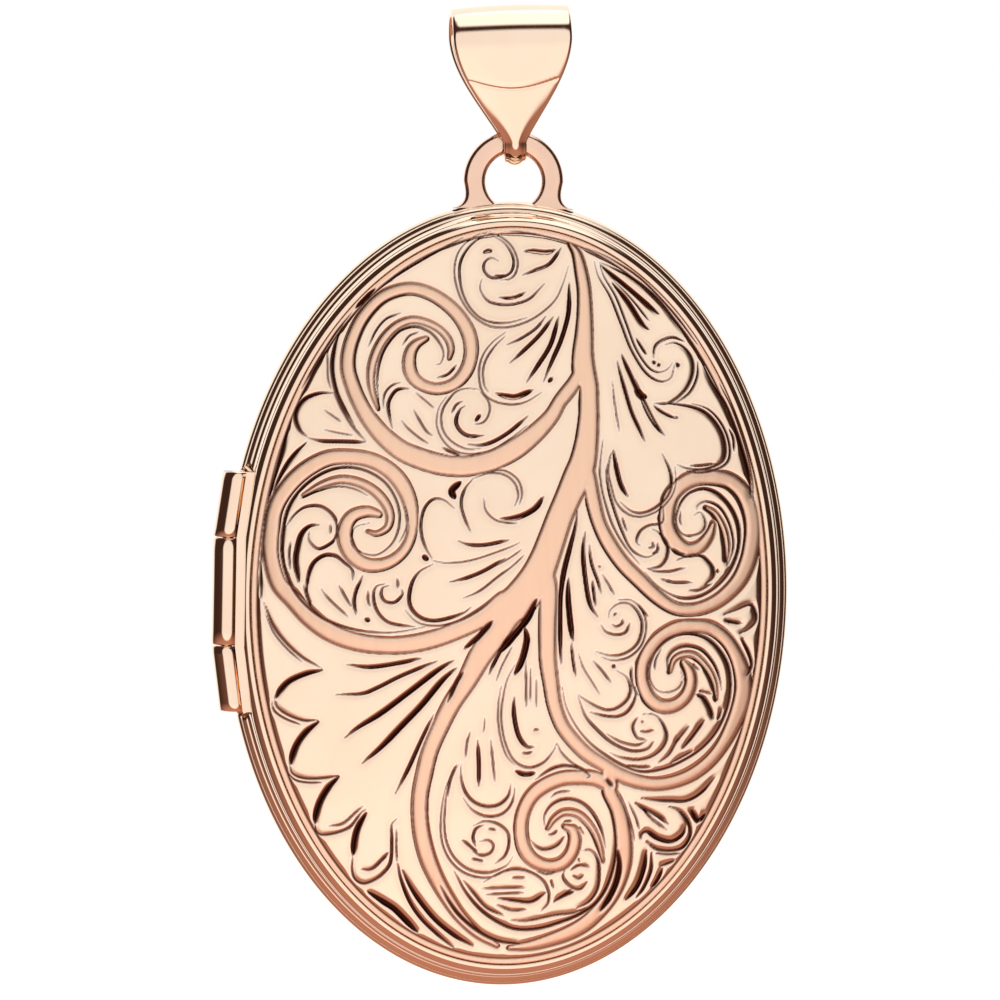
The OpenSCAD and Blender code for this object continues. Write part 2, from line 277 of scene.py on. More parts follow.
make_piece("front_rim_strip", rows.reshape(-1, 3), grid_faces(len(turns), len(front_rim_profile)),
           "front", ["front_rim"], polished_gold)

# ---------------------------------------------------------------------------
# Back shell
# The plain domed back, pressed from rose gold sheet and polished. It drops into
# the seat inside the back rim and is soldered there.
# ---------------------------------------------------------------------------
shell_wall = 0.35
shell_gap = 0.05
shell_half_width = half_width - shell_inset
shell_half_height = half_height - shell_inset


def dome_rise(x, z, swell):
    """Height of a shell's dome above its edge at a place on the face, measured from the middle."""
    radius = (shell_half_height ** 2 + swell ** 2) / (2 * swell)
    share = np.clip(np.hypot(x / shell_half_width, z / shell_half_height), 0, 1)
    return np.sqrt(radius ** 2 - (share * shell_half_height) ** 2) - (radius - swell)


back_swell = 1.35


def domed_sheet(edge_inset, edge_height, swell, thickness, rings, around):
    """Points and faces of a domed sheet with an edge, made of rings round the oval."""
    shares = np.linspace(0, 1, rings + 1)[1:]
    angles = np.linspace(0, 2 * math.pi, around, endpoint=False)
    x = np.outer(shares, (half_width - edge_inset) * np.cos(angles))
    z = np.outer(shares, (half_height - edge_inset) * np.sin(angles))
    layer_size = rings * around + 1
    points, faces = [], []
    for layer, depth in enumerate((0.0, thickness)):
        y = edge_height + dome_rise(x, z, swell) - depth
        points.append(np.stack([case_x + x, y, case_z + z], -1).reshape(-1, 3))
        points.append([[case_x, edge_height + swell - depth, case_z]])
        start = layer * layer_size
        quads = grid_faces(rings, around, rows_closed=False) + start
        fan = [[start + layer_size - 1, start + i, start + (i + 1) % around] for i in range(around)]
        faces += [q[::-1] if layer else q for q in quads.tolist()]
        faces += [f if layer else f[::-1] for f in fan]
    edge = (rings - 1) * around
    for i in range(around):
        here, beside = edge + i, edge + (i + 1) % around
        faces.append([here, beside, layer_size + beside, layer_size + here])
    return np.vstack(points), faces


points, faces = domed_sheet(shell_inset + shell_gap, back_shoulder, back_swell, shell_wall,
                            rings=60, around=240)
make_piece("back_dome", points, faces, "back", ["back_shell"], polished_gold)

# ---------------------------------------------------------------------------
# Engraved front shell
# The cover's domed front, pressed from rose gold sheet and cut by hand with a
# graver: matte scroll stems, bright leaves and fine shaded veins. The dark in and
# the brown beside each cut are painted shade, and its bright edge is a painted highlight.
# ---------------------------------------------------------------------------
front_swell = 1.6
engraved_half_width = shell_half_width - shell_gap
engraved_half_height = shell_half_height - shell_gap

# Scroll stems: the matte bands. Each point is across, up and half the band's width there.
stems = {
    "main stem": [
        (2.45, 15.7, .06), (2.75, 15.3, .17), (2.95, 14.5, .24), (3.08, 13.7, .26),
        (3.12, 12.7, .30), (3.10, 11.75, .36), (3.05, 10.85, .43), (3.1, 10.1, .48),
        (3.3, 9.45, .40), (3.33, 8.7, .40), (3.33, 8.0, .42), (3.25, 7.0, .48), (3.1, 6.1, .56),
        (2.85, 5.4, .60), (2.45, 4.5, .55), (2.08, 3.6, .55), (1.77, 2.7, .58), (1.45, 1.8, .62),
        (1.05, .9, .70), (.4, 0, .75), (-.25, -.6, .72), (-.75, -1.55, .60), (-1.4, -2.65, .48),
        (-1.95, -3.7, .40), (-2.6, -4.75, .36), (-3.1, -5.8, .34), (-3.52, -6.85, .33),
        (-3.75, -7.9, .33), (-3.9, -8.85, .32), (-3.9, -9.75, .32), (-3.78, -10.65, .33),
        (-3.5, -11.65, .33), (-3.1, -12.55, .3), (-2.6, -13.4, .27), (-1.95, -14.3, .23),
        (-1.15, -15.05, .18), (-.3, -15.55, .1)],
    "top left scroll": [
        (3.0, 10.2, .25), (2.68, 9.6, .27), (2.3, 9.1, .28), (2.03, 8.75, .27), (1.65, 8.1, .3),
        (1.0, 7.4, .36), (.2, 6.75, .42), (-.55, 6.3, .42), (-1.15, 6.05, .42), (-2.1, 5.85, .42),
        (-3.1, 5.87, .42), (-4.05, 6.1, .42), (-5.0, 6.48, .40), (-5.8, 7.1, .37),
        (-6.45, 7.85, .33), (-6.9, 8.6, .30), (-7.2, 9.3, .29), (-7.4, 10.0, .28),
        (-7.38, 10.75, .27), (-7.15, 11.55, .26), (-6.75, 12.35, .25), (-6.1, 13.1, .24),
        (-5.4, 13.5, .24), (-4.6, 13.65, .24), (-3.8, 13.45, .25), (-3.05, 13.0, .26),
        (-2.45, 12.4, .27), (-2.05, 11.65, .28), (-1.95, 10.85, .27), (-2.15, 10.1, .26),
        (-2.65, 9.5, .24), (-3.35, 9.25, .22), (-4.0, 9.35, .22), (-4.5, 9.7, .24),
        (-4.7, 10.2, .25), (-4.65, 10.8, .22), (-4.4, 11.2, .17), (-3.95, 11.45, .08)],
    "left scroll": [
        (-.3, -.2, .5), (-1.1, -.75, .42), (-2.1, -1.3, .37), (-3.3, -1.8, .36), (-4.5, -2.1, .36),
        (-5.7, -2.17, .35), (-6.9, -2.03, .37), (-8.0, -1.65, .38), (-8.9, -1.03, .38),
        (-9.65, -.25, .37), (-10.28, .42, .35), (-10.6, 1.3, .33), (-10.7, 2.1, .33),
        (-10.65, 2.9, .33), (-10.55, 3.65, .32), (-10.25, 4.35, .33), (-9.7, 5.08, .34),
        (-9.0, 5.67, .34), (-8.2, 6.07, .32), (-7.3, 6.15, .30), (-6.45, 6.05, .30),
        (-5.7, 5.72, .31), (-5.1, 5.17, .32), (-4.7, 4.47, .30), (-4.5, 3.67, .25),
        (-4.5, 2.87, .2), (-4.78, 2.13, .2), (-5.3, 1.62, .22), (-5.95, 1.38, .25),
        (-6.6, 1.44, .28), (-7.15, 1.84, .30), (-7.45, 2.48, .30), (-7.4, 3.12, .28),
        (-7.08, 3.57, .24), (-6.5, 3.75, .2), (-5.95, 3.65, .12)],
    "top right scroll": [
        (3.1, 6.3, .3), (3.37, 5.38, .3), (3.57, 4.4, .3), (3.85, 3.42, .28), (4.3, 2.53, .3),
        (4.95, 1.63, .3), (5.7, .9, .3), (6.5, .17, .28), (7.27, -.33, .25), (8.0, -.45, .25),
        (8.75, -.3, .27), (9.5, .1, .3), (10.2, .8, .33), (10.6, 1.6, .35), (10.8, 2.45, .36),
        (10.85, 3.25, .36), (10.72, 4.05, .36), (10.35, 4.8, .34), (9.75, 5.3, .32),
        (9.0, 5.45, .32), (8.25, 5.42, .32), (7.6, 5.12, .32), (7.12, 4.63, .32), (6.93, 4.0, .33),
        (6.93, 3.27, .33), (7.27, 2.6, .35), (7.85, 2.24, .28), (8.43, 2.36, .25), (8.83, 2.85, .2),
        (9.0, 3.35, .1)],
    "right scroll": [
        (1.45, 1.4, .3), (1.6, .6, .38), (1.62, -.2, .38), (1.62, -.9, .36), (1.63, -1.77, .35),
        (1.67, -2.75, .34), (1.82, -3.73, .31), (2.0, -4.7, .29), (2.35, -5.6, .28),
        (2.85, -6.27, .28), (3.5, -6.9, .28), (4.25, -7.38, .27), (5.0, -7.83, .28),
        (5.82, -8.13, .27), (6.65, -8.25, .26), (7.48, -8.13, .26), (8.3, -7.8, .27),
        (9.05, -7.23, .27), (9.63, -6.5, .28), (10.1, -5.6, .33), (10.43, -4.7, .38),
        (10.55, -3.9, .38), (10.43, -3.15, .35), (10.13, -2.4, .3), (9.7, -1.77, .28),
        (9.05, -1.3, .28), (8.33, -1.18, .28), (7.57, -1.23, .28), (6.9, -1.55, .28),
        (6.35, -2.05, .28), (5.98, -2.7, .26), (5.9, -3.3, .26), (6.0, -3.85, .27),
        (6.3, -4.4, .28), (6.8, -4.75, .27), (7.4, -4.72, .26), (7.9, -4.33, .25),
        (8.13, -3.75, .24), (8.07, -3.2, .22), (7.75, -2.75, .1)],
    "bottom scroll": [
        (4.4, -7.7, .2), (4.55, -8.1, .33), (4.6, -8.6, .3), (4.97, -9.35, .3), (5.18, -10.1, .33),
        (5.28, -10.9, .35), (5.27, -11.73, .36), (5.07, -12.55, .35), (4.75, -13.27, .33),
        (4.27, -13.93, .32), (3.63, -14.55, .32), (2.9, -14.98, .3), (2.07, -15.3, .26),
        (1.2, -15.55, .2), (.3, -15.65, .1)],
    "bottom scroll curl": [
        (4.6, -8.3, .3), (3.9, -8.0, .3), (3.1, -7.95, .3), (2.35, -8.02, .3), (1.6, -8.35, .3),
        (1.05, -8.85, .28), (.72, -9.55, .27), (.63, -10.3, .27), (.77, -11.07, .28),
        (1.15, -11.65, .27), (1.78, -11.95, .24), (2.45, -11.87, .25), (2.9, -11.42, .25),
        (3.07, -10.8, .25), (2.95, -10.35, .2), (2.6, -10.15, .08)],
    "top left inner curl": [
        (-6.05, 8.3, .04), (-6.33, 9.2, .12), (-6.36, 10.0, .16), (-6.15, 10.8, .17),
        (-5.75, 11.5, .17), (-5.2, 12.02, .16), (-4.57, 12.25, .15), (-3.95, 12.15, .14),
        (-3.38, 11.87, .13), (-2.99, 11.45, .12), (-2.85, 11.0, .1), (-2.92, 10.6, .05)],
    "left inner curl": [
        (-9.3, 4.4, .04), (-8.5, 4.88, .12), (-7.7, 5.13, .15), (-6.9, 5.03, .16),
        (-6.2, 4.68, .17), (-5.7, 4.15, .17), (-5.47, 3.6, .15), (-5.57, 3.07, .12),
        (-6.03, 2.78, .08), (-6.45, 2.87, .04)],
    "bottom inner curl": [
        (1.83, -10.25, .05), (2.1, -9.83, .1), (2.57, -9.53, .12), (3.23, -9.65, .13),
        (3.83, -10.25, .12), (4.17, -10.95, .1), (4.35, -11.73, .04)],
    "right inner curl": [
        (7.17, -3.2, .05), (7.33, -2.68, .1), (7.75, -2.45, .12), (8.3, -2.5, .12),
        (8.87, -3.05, .12), (9.2, -3.7, .1), (9.3, -4.43, .04)],
    "top right inner curl": [
        (8.67, 4.1, .05), (9.1, 3.83, .1), (9.48, 3.18, .12), (9.65, 2.45, .11), (9.63, 1.8, .04)],
}
# Graver cuts: a width and the places that the cut runs through, across and up.
cuts = [
    (.13, [(-2.3, 15.93), (-3.13, 15.5), (-4.0, 15.0), (-5.05, 14.35), (-5.85, 13.8)]),
    (.26, [(-6.2, 13.6), (-6.55, 13.25), (-7.05, 12.72)]),
    (.14, [(-7.2, 12.55), (-7.75, 11.85), (-8.25, 11.1), (-8.8, 10.2), (-9.4, 9.1)]),
    (.13, [(-1.1, 16.2), (-1.7, 16.05), (-2.25, 15.65), (-2.6, 15.15), (-2.72, 14.45), (-2.6, 13.7),
           (-2.3, 13.0), (-1.85, 12.45), (-1.25, 12.08), (-.6, 11.98), (.15, 12.12), (.95, 12.5),
           (1.75, 13.2), (2.13, 14.0), (2.35, 14.75)]),
    (.15, [(-.75, 16.05), (-1.4, 16.0), (-1.95, 15.65), (-2.35, 15.1), (-2.5, 14.5), (-2.4, 13.65),
           (-2.1, 12.95), (-1.6, 12.42), (-1.0, 12.2), (-.3, 12.2), (.5, 12.42)]),
    (.13, [(-1.5, 16.1), (-.9, 16.08), (-.35, 15.75), (-.05, 15.35), (.1, 14.85), (0, 14.4),
           (-.25, 14.13), (-.7, 14.05)]),
    (.15, [(-1.0, 16.0), (-.5, 15.7), (-.17, 15.25), (-.08, 14.85), (-.2, 14.45), (-.6, 14.22),
           (-1.1, 14.2), (-1.4, 14.5), (-1.38, 14.85), (-1.1, 15.05), (-.75, 14.9)]),
    (.15, [(-1.5, 14.1), (-1.58, 13.7), (-1.38, 13.3), (-1.05, 13.08), (-.5, 13.0), (0, 13.05),
           (.65, 13.3), (1.3, 13.95)]),
    (.18, [(-.75, 13.3), (-.1, 13.32), (.45, 13.55)]),
    (.2, [(-1.45, 15.28), (-1.2, 15.38), (-1.05, 15.35)]),
    (.16, [(-.95, 14.27), (-.65, 14.27), (-.45, 14.3)]),
    (.13, [(-6.5, 11.0), (-6.17, 11.75), (-5.7, 12.3), (-5.05, 12.55)]),
    (.16, [(-6.0, 8.5), (-6.1, 9.6), (-5.95, 10.55), (-5.6, 11.25), (-5.07, 11.8), (-4.4, 11.97),
           (-3.78, 11.73), (-3.38, 11.3), (-3.17, 10.8), (-3.3, 10.35), (-3.5, 10.3)]),
    (.16, [(-3.45, 9.72), (-2.97, 9.9), (-2.6, 10.3)]),
    (.12, [(-5.0, 11.1), (-4.7, 11.55), (-4.25, 11.72)]),
    (.13, [(-5.8, 8.3), (-5.77, 8.95), (-5.45, 9.35), (-5.05, 9.48)]),
    (.18, [(-5.4, 7.45), (-5.55, 8.0), (-5.6, 8.55), (-5.35, 9.05), (-5.05, 9.22), (-4.65, 9.2)]),
    (.13, [(-4.4, 9.05), (-3.9, 8.65), (-3.55, 8.35)]),
    (.16, [(-4.47, 8.3), (-4.2, 7.8), (-3.9, 7.35), (-3.62, 7.15)]),
    (.15, [(-5.0, 7.8), (-4.7, 7.45), (-4.2, 7.05), (-3.8, 6.8)]),
    (.07, [(-4.6, 6.8), (-4.05, 6.57), (-3.4, 6.4), (-2.95, 6.33)]),
    (.2, [(-3.2, 6.65), (-2.77, 6.45), (-2.37, 6.28)]),
    (.13, [(-2.98, 8.95), (-3.35, 8.4), (-3.45, 7.7), (-3.25, 7.1), (-2.82, 6.62), (-2.25, 6.4),
           (-1.45, 6.42), (-.8, 6.65), (-.15, 7.1), (.6, 7.7)]),
    (.14, [(-1.55, 9.22), (-2.1, 9.27), (-2.6, 9.12), (-2.95, 8.75), (-3.2, 8.3), (-3.25, 7.75),
           (-3.08, 7.25), (-2.68, 6.85), (-2.1, 6.6), (-1.5, 6.62)]),
    (.14, [(-1.55, 9.15), (-1.15, 8.67), (-1.13, 8.2), (-1.37, 7.8), (-1.8, 7.67)]),
    (.15, [(-2.3, 8.7), (-2.6, 8.55), (-2.8, 8.15)]),
    (.2, [(-2.2, 8.5), (-2.45, 8.3), (-2.6, 7.8), (-2.4, 7.4), (-2.0, 7.18), (-1.35, 7.2)]),
    (.2, [(-1.75, 7.8), (-1.52, 8.15)]),
    (.2, [(-2.07, 6.8), (-1.5, 6.78), (-.93, 6.95), (-.2, 7.4), (.6, 8.1)]),
    (.14, [(-.4, 11.8), (-1.03, 11.3), (-1.45, 10.7), (-1.6, 10.0), (-1.5, 9.28), (-1.2, 8.88),
           (-.65, 8.65), (0, 8.6), (.57, 8.75), (1.2, 9.15)]),
    (.14, [(-.45, 11.6), (-.95, 11.1), (-1.3, 10.55), (-1.43, 10.0), (-1.35, 9.4), (-1.15, 9.1)]),
    (.28, [(-.85, 9.08), (-.3, 8.95), (.1, 8.95), (.8, 9.25)]),
    (.18, [(.3, 14.3), (.87, 14.55), (1.53, 14.85), (2.05, 15.55)]),
    (.22, [(.35, 15.35), (.7, 15.4), (1.35, 15.35), (1.8, 15.45)]),
    (.12, [(-.5, 16.2), (.2, 16.2), (.95, 16.1), (2.0, 15.85)]),
    (.16, [(-.4, 11.2), (.3, 11.55), (.95, 12.0), (1.35, 12.5)]),
    (.2, [(-.25, 10.4), (.4, 11.0), (1.1, 11.7), (1.7, 12.5)]),
    (.22, [(.5, 9.55), (1.03, 10.35), (1.6, 11.3), (1.93, 12.5)]),
    (.22, [(1.27, 9.6), (1.68, 10.6), (2.08, 11.55), (2.38, 12.7), (2.4, 14.0)]),
    (.2, [(1.5, 9.6), (1.68, 9.82)]),
    (.13, [(3.5, 14.95), (3.7, 14.3), (4.25, 13.4), (4.75, 12.2), (5.2, 11.1), (5.85, 10.1),
           (6.5, 9.7), (7.0, 9.85), (7.15, 10.45)]),
    (.13, [(3.75, 14.9), (3.95, 14.3), (4.5, 13.4), (4.95, 12.3), (5.4, 11.15), (5.95, 10.35),
           (6.4, 10.1), (6.8, 10.2), (7.05, 10.5)]),
    (.24, [(3.8, 14.8), (4.55, 14.2), (5.55, 13.4), (6.45, 12.65)]),
    (.22, [(4.3, 14.05), (5.05, 13.2), (5.65, 12.3), (6.0, 11.95)]),
    (.13, [(4.4, 14.1), (5.25, 13.25), (6.0, 12.35)]),
    (.16, [(3.8, 14.9), (5.05, 14.35), (6.2, 13.5), (7.03, 12.55), (7.77, 11.6)]),
    (.13, [(3.15, 15.55), (4.2, 15.1), (5.5, 14.3), (6.6, 13.25), (7.4, 12.35), (8.2, 11.3)]),
    (.14, [(6.2, 10.7), (6.28, 11.2), (6.6, 11.5), (7.1, 11.65), (7.6, 11.45)]),
    (.15, [(6.7, 11.3), (7.2, 11.4), (7.7, 11.1), (8.0, 10.55), (7.97, 9.9), (7.62, 9.25),
           (6.95, 8.75), (6.2, 8.7)]),
    (.14, [(8.2, 10.6), (8.2, 9.9), (7.87, 9.2), (7.2, 8.72)]),
    (.18, [(6.25, 10.55), (6.27, 10.5)]),
    (.18, [(6.45, 10.45), (6.48, 10.4)]),
    (.18, [(7.33, 10.45), (7.36, 10.4)]),
    (.15, [(5.4, 11.6), (5.9, 10.85)]),
    (.2, [(4.75, 10.9), (5.2, 9.95), (5.6, 9.15), (5.85, 9.0)]),
    (.34, [(5.45, 9.35), (5.7, 9.05), (5.9, 8.98)]),
    (.18, [(4.55, 10.6), (4.9, 9.45), (5.25, 8.35), (5.6, 7.6), (5.85, 7.0)]),
    (.1, [(4.33, 9.75), (4.5, 8.55), (4.7, 7.4)]),
    (.16, [(5.4, 9.75), (5.8, 8.85), (6.3, 7.9), (6.75, 7.25)]),
    (.12, [(5.6, 9.0), (6.05, 8.1), (6.55, 7.4)]),
    (.15, [(6.2, 8.63), (6.7, 8.3), (7.25, 8.05)]),
    (.14, [(7.2, 8.15), (7.35, 8.05)]),
    (.16, [(6.2, 8.7), (6.8, 8.73), (7.85, 8.6), (8.55, 8.35), (9.05, 7.9), (9.4, 7.3),
           (9.53, 6.65), (9.42, 6.2), (9.0, 5.93), (8.4, 5.78), (7.8, 5.85), (7.3, 6.0)]),
    (.15, [(7.9, 8.72), (8.65, 8.5), (9.2, 8.0), (9.58, 7.3), (9.72, 6.6), (9.6, 6.1), (9.1, 5.8),
           (8.3, 5.66), (7.7, 5.75)]),
    (.14, [(7.87, 5.95), (8.4, 5.97), (9.1, 6.05)]),
    (.13, [(9.65, 7.62), (9.87, 7.2), (9.9, 6.6)]),
    (.2, [(8.45, 10.45), (8.87, 9.65), (9.45, 8.75), (9.9, 7.75), (10.27, 6.75), (10.6, 5.6),
          (10.7, 4.5)]),
    (.13, [(9.2, 9.6), (9.75, 8.6), (10.15, 7.6), (10.5, 6.5), (10.75, 5.3), (10.8, 4.4)]),
    (.15, [(6.6, 6.52), (6.97, 5.85), (7.1, 5.2), (6.9, 4.6), (6.43, 4.12), (5.8, 3.85),
           (5.25, 3.95), (4.75, 4.35)]),
    (.13, [(7.2, 5.9), (7.27, 5.2), (7.05, 4.55), (6.5, 3.98), (5.78, 3.7), (5.15, 3.8), (4.6, 4.3),
           (4.37, 4.97), (4.22, 5.7), (4.35, 6.5)]),
    (.22, [(4.43, 6.65), (4.6, 5.85), (4.8, 5.13), (5.12, 4.55)]),
    (.15, [(4.3, 6.5), (4.15, 5.7), (4.25, 4.9), (4.5, 4.05), (4.9, 3.0), (5.3, 2.25), (5.95, 1.9),
           (6.5, 2.1)]),
    (.14, [(4.85, 3.7), (5.07, 3.05)]),
    (.14, [(6.7, 4.15), (6.68, 3.45), (6.1, 3.3), (5.7, 3.03), (5.53, 2.55), (5.7, 2.4)]),
    (.15, [(6.2, 3.15), (6.6, 2.95), (6.95, 2.45), (6.93, 1.88), (6.6, 1.47), (6.03, 1.4)]),
    (.12, [(6.05, 2.3), (6.3, 2.35), (6.25, 2.6)]),
    (.14, [(6.47, 2.55), (6.5, 2.2), (6.25, 2.0)]),
    (.14, [(3.95, 7.1), (3.83, 5.87), (3.93, 4.9), (4.17, 4.07), (4.5, 3.2), (5.05, 2.3),
           (5.7, 1.55)]),
    (.17, [(8.1, 3.75), (8.35, 3.9), (8.55, 3.75), (8.67, 3.35), (8.47, 3.0), (8.0, 2.85),
           (7.6, 2.93), (7.35, 3.25), (7.3, 3.7), (7.5, 4.3), (7.9, 4.75), (8.5, 4.95), (9.1, 4.8),
           (9.6, 4.4), (10.0, 3.8), (10.2, 3.1), (10.15, 2.2), (9.8, 1.3), (9.2, .6), (8.4, .15),
           (7.5, .1), (6.6, .55), (5.9, 1.25)]),
    (.15, [(8.2, 4.0), (8.35, 4.25), (8.75, 4.37), (9.27, 4.15), (9.65, 3.6), (9.87, 2.95),
           (9.92, 2.3), (9.65, 1.47)]),
    (.12, [(7.5, 3.97), (7.47, 3.6), (7.55, 3.3)]),
    (.14, [(6.0, 1.4), (6.45, 1.27), (7.1, 1.27), (7.77, 1.43)]),
    (.15, [(6.6, .95), (7.27, .78), (8.1, .78)]),
    (.14, [(7.93, .43), (8.43, .43), (9.0, .75)]),
    (.16, [(7.33, 1.75), (7.93, 1.97), (8.5, 1.97), (8.9, 1.65), (9.07, 1.33), (9.03, 1.0),
           (8.67, .67)]),
    (.2, [(9.2, 1.35), (9.25, 1.2)]),
    (.15, [(7.15, 2.3), (7.55, 2.05), (7.75, 2.05)]),
    (.14, [(4.3, -.85), (4.4, -.45), (4.8, -.17), (5.3, -.2), (5.7, -.6), (5.87, -1.17),
           (5.7, -1.9), (5.2, -2.35), (4.55, -2.5), (3.75, -2.3)]),
    (.13, [(4.75, 0), (5.35, -.03), (5.85, -.5), (6.03, -1.17), (5.85, -2.0), (5.3, -2.55),
           (4.6, -2.7), (4.0, -2.55)]),
    (.15, [(3.97, -1.1), (4.23, -1.43), (4.7, -1.57), (5.13, -1.45), (5.3, -1.0)]),
    (.14, [(4.47, -1.07), (4.7, -1.2), (4.97, -1.05), (4.95, -.85)]),
    (.12, [(4.55, -.75), (4.7, -.55)]),
    (.22, [(3.2, 3.0), (3.15, 2.05), (3.28, .85), (3.5, -.2), (3.85, -.8)]),
    (.17, [(3.4, 2.45), (3.53, 1.63), (3.83, .82), (3.97, .25)]),
    (.18, [(3.57, .9), (3.73, -.3)]),
    (.13, [(4.0, 1.13), (4.33, .65), (4.57, .2)]),
    (.16, [(3.87, 1.5), (3.9, 1.42)]),
    (.16, [(5.6, -.15), (5.9, -.5), (6.1, -.75)]),
    (.26, [(2.85, 4.05), (2.78, 3.25), (2.55, 2.3), (2.3, 1.2), (2.15, 0), (2.17, -1.6),
           (2.25, -2.9)]),
    (.28, [(2.5, .97), (2.5, .15), (2.6, -.8), (2.75, -1.85)]),
    (.16, [(2.68, -1.9), (2.8, -2.8), (2.92, -3.45)]),
    (.12, [(3.0, -2.4), (3.25, -3.05), (3.67, -3.7), (4.0, -4.23)]),
    (.15, [(3.65, -2.7), (4.13, -3.2), (4.5, -3.7)]),
    (.15, [(4.7, -3.13), (5.2, -3.45), (5.4, -3.95), (5.28, -4.43), (4.87, -4.8), (4.4, -4.93),
           (3.83, -4.75), (3.0, -4.23)]),
    (.16, [(5.6, -3.85), (5.6, -4.43), (5.28, -5.0), (4.8, -5.22), (4.13, -5.17), (3.57, -5.0)]),
    (.2, [(4.6, -2.9), (4.65, -3.05)]),
    (.15, [(5.4, -2.9), (5.45, -3.7), (5.75, -4.3)]),
    (.17, [(3.03, -4.35), (3.4, -5.2), (3.98, -5.85), (4.65, -6.4), (5.47, -6.75), (6.2, -6.67),
           (6.5, -6.3)]),
    (.14, [(4.3, -5.95), (5.0, -6.35), (5.7, -6.5), (6.15, -6.3)]),
    (.15, [(5.95, -5.1), (6.5, -5.13), (6.9, -5.5), (7.1, -6.07), (6.9, -6.6), (6.4, -7.0),
           (5.73, -7.15), (4.98, -7.03), (4.5, -6.8)]),
    (.14, [(5.75, -5.2), (5.55, -5.67), (5.78, -6.17), (6.2, -6.25)]),
    (.13, [(5.85, -5.87), (6.15, -5.9), (6.5, -5.8)]),
    (.13, [(5.92, -5.5), (6.0, -5.4)]),
    (.16, [(5.3, -7.4), (5.9, -7.48), (6.4, -7.45)]),
    (.14, [(6.7, -7.3), (7.2, -6.9), (7.53, -6.33), (8.1, -5.6)]),
    (.2, [(7.8, -6.65), (8.27, -6.07), (8.77, -5.37)]),
    (.15, [(7.27, -7.3), (7.83, -6.98), (8.3, -6.73)]),
    (.18, [(7.45, -6.4), (7.7, -6.1)]),
    (.17, [(7.03, -3.1), (7.07, -2.57), (7.4, -2.2), (7.97, -2.05), (8.63, -2.25), (9.13, -2.8),
           (9.4, -3.45), (9.5, -4.05)]),
    (.17, [(7.63, -3.13), (7.75, -3.53), (7.57, -3.93), (7.08, -4.13), (6.55, -4.0), (6.25, -3.5),
           (6.25, -2.9), (6.55, -2.2), (7.1, -1.7), (7.9, -1.5), (8.7, -1.65), (9.35, -2.15),
           (9.8, -2.9), (9.93, -3.8), (9.8, -4.8), (9.35, -5.85), (8.65, -6.65), (7.8, -7.2),
           (6.95, -7.55), (6.0, -7.68), (5.15, -7.42), (4.4, -7.0), (3.67, -6.45), (3.0, -5.68),
           (2.5, -4.77), (2.3, -3.9)]),
    (.15, [(8.15, -2.85), (8.47, -3.13)]),
    (.13, [(6.73, -2.15), (6.5, -2.65), (6.45, -3.13)]),
    (.2, [(8.3, -4.2), (8.73, -4.37), (9.05, -4.87), (9.17, -5.35)]),
    (.13, [(8.45, -4.05), (9.1, -4.2)]),
    (.15, [(9.55, -4.85), (9.4, -5.35)]),
    (.16, [(9.6, -.9), (10.4, -1.05)]),
    (.15, [(9.5, -.68), (10.1, -.45), (10.75, -.2), (11.0, -.5), (11.03, -.93), (10.7, -1.3),
           (10.27, -1.5)]),
    (.2, [(10.4, -1.7), (10.73, -2.33), (10.87, -2.9), (10.67, -3.4)]),
    (.4, [(1.1, 0), (.7, -.85), (0, -1.75), (-.5, -2.4)]),
    (.32, [(.53, -1.2), (.7, -1.77), (.5, -2.73), (.18, -3.4)]),
    (.14, [(.65, -2.75), (.7, -3.7), (.73, -4.8)]),
    (.12, [(.88, -3.05), (.9, -4.6)]),
    (.11, [(1.15, -3.55), (1.17, -4.8)]),
    (.22, [(.18, -4.3), (.2, -5.2), (.42, -6.1), (.8, -6.6), (1.13, -6.57)]),
    (.15, [(.57, -6.85), (.8, -6.9), (1.05, -6.8)]),
    (.14, [(1.05, -5.85), (1.33, -5.8)]),
    (.14, [(.2, -2.9), (-.15, -3.6), (-.33, -4.5), (-.38, -5.3), (-.2, -6.33), (.23, -7.2),
           (.88, -7.53), (1.55, -7.3), (1.97, -6.77), (2.13, -6.35)]),
    (.13, [(-.42, -3.9), (-.52, -4.8), (-.45, -5.9), (-.15, -6.9), (.25, -7.4)]),
    (.26, [(.3, -7.68), (.72, -7.83), (1.2, -7.77)]),
    (.17, [(1.2, -8.05), (1.95, -7.57), (2.6, -7.43), (3.25, -7.57), (3.65, -7.87), (3.5, -7.95)]),
    (.14, [(2.13, -6.4), (2.37, -6.85), (2.87, -7.33), (3.45, -7.67)]),
    (.22, [(-7.25, -3.05), (-6.27, -3.15), (-5.0, -2.95), (-3.95, -2.7)]),
    (.2, [(-7.7, -4.4), (-6.6, -4.35), (-5.87, -4.05), (-4.83, -3.5), (-3.23, -2.8)]),
    (.28, [(-7.27, -6.33), (-6.73, -5.87), (-5.7, -5.18), (-4.5, -4.23), (-3.3, -3.27),
           (-2.53, -2.77)]),
    (.3, [(-6.48, -7.45), (-5.67, -6.7), (-4.8, -5.75), (-3.93, -4.8), (-3.05, -3.7), (-2.4, -3.1)]),
    (.2, [(-5.0, -8.8), (-4.47, -7.7), (-4.0, -6.6), (-3.37, -5.2)]),
    (.22, [(-2.77, -4.65), (-2.4, -3.75), (-2.1, -3.27)]),
    (.3, [(-2.1, -2.27), (-1.55, -1.8), (-.85, -1.0)]),
    (.14, [(-10.95, -.35), (-10.57, -1.33), (-10.0, -2.1), (-9.2, -2.8), (-8.33, -3.25)]),
    (.13, [(-10.85, -.9), (-10.45, -1.75), (-9.85, -2.45), (-9.2, -3.0)]),
    (.26, [(-8.3, -3.33), (-9.03, -3.5), (-9.77, -3.85), (-10.2, -4.3), (-10.38, -4.67)]),
    (.15, [(-10.38, -4.67), (-10.3, -5.0), (-9.83, -5.35), (-9.1, -5.6), (-8.47, -5.57)]),
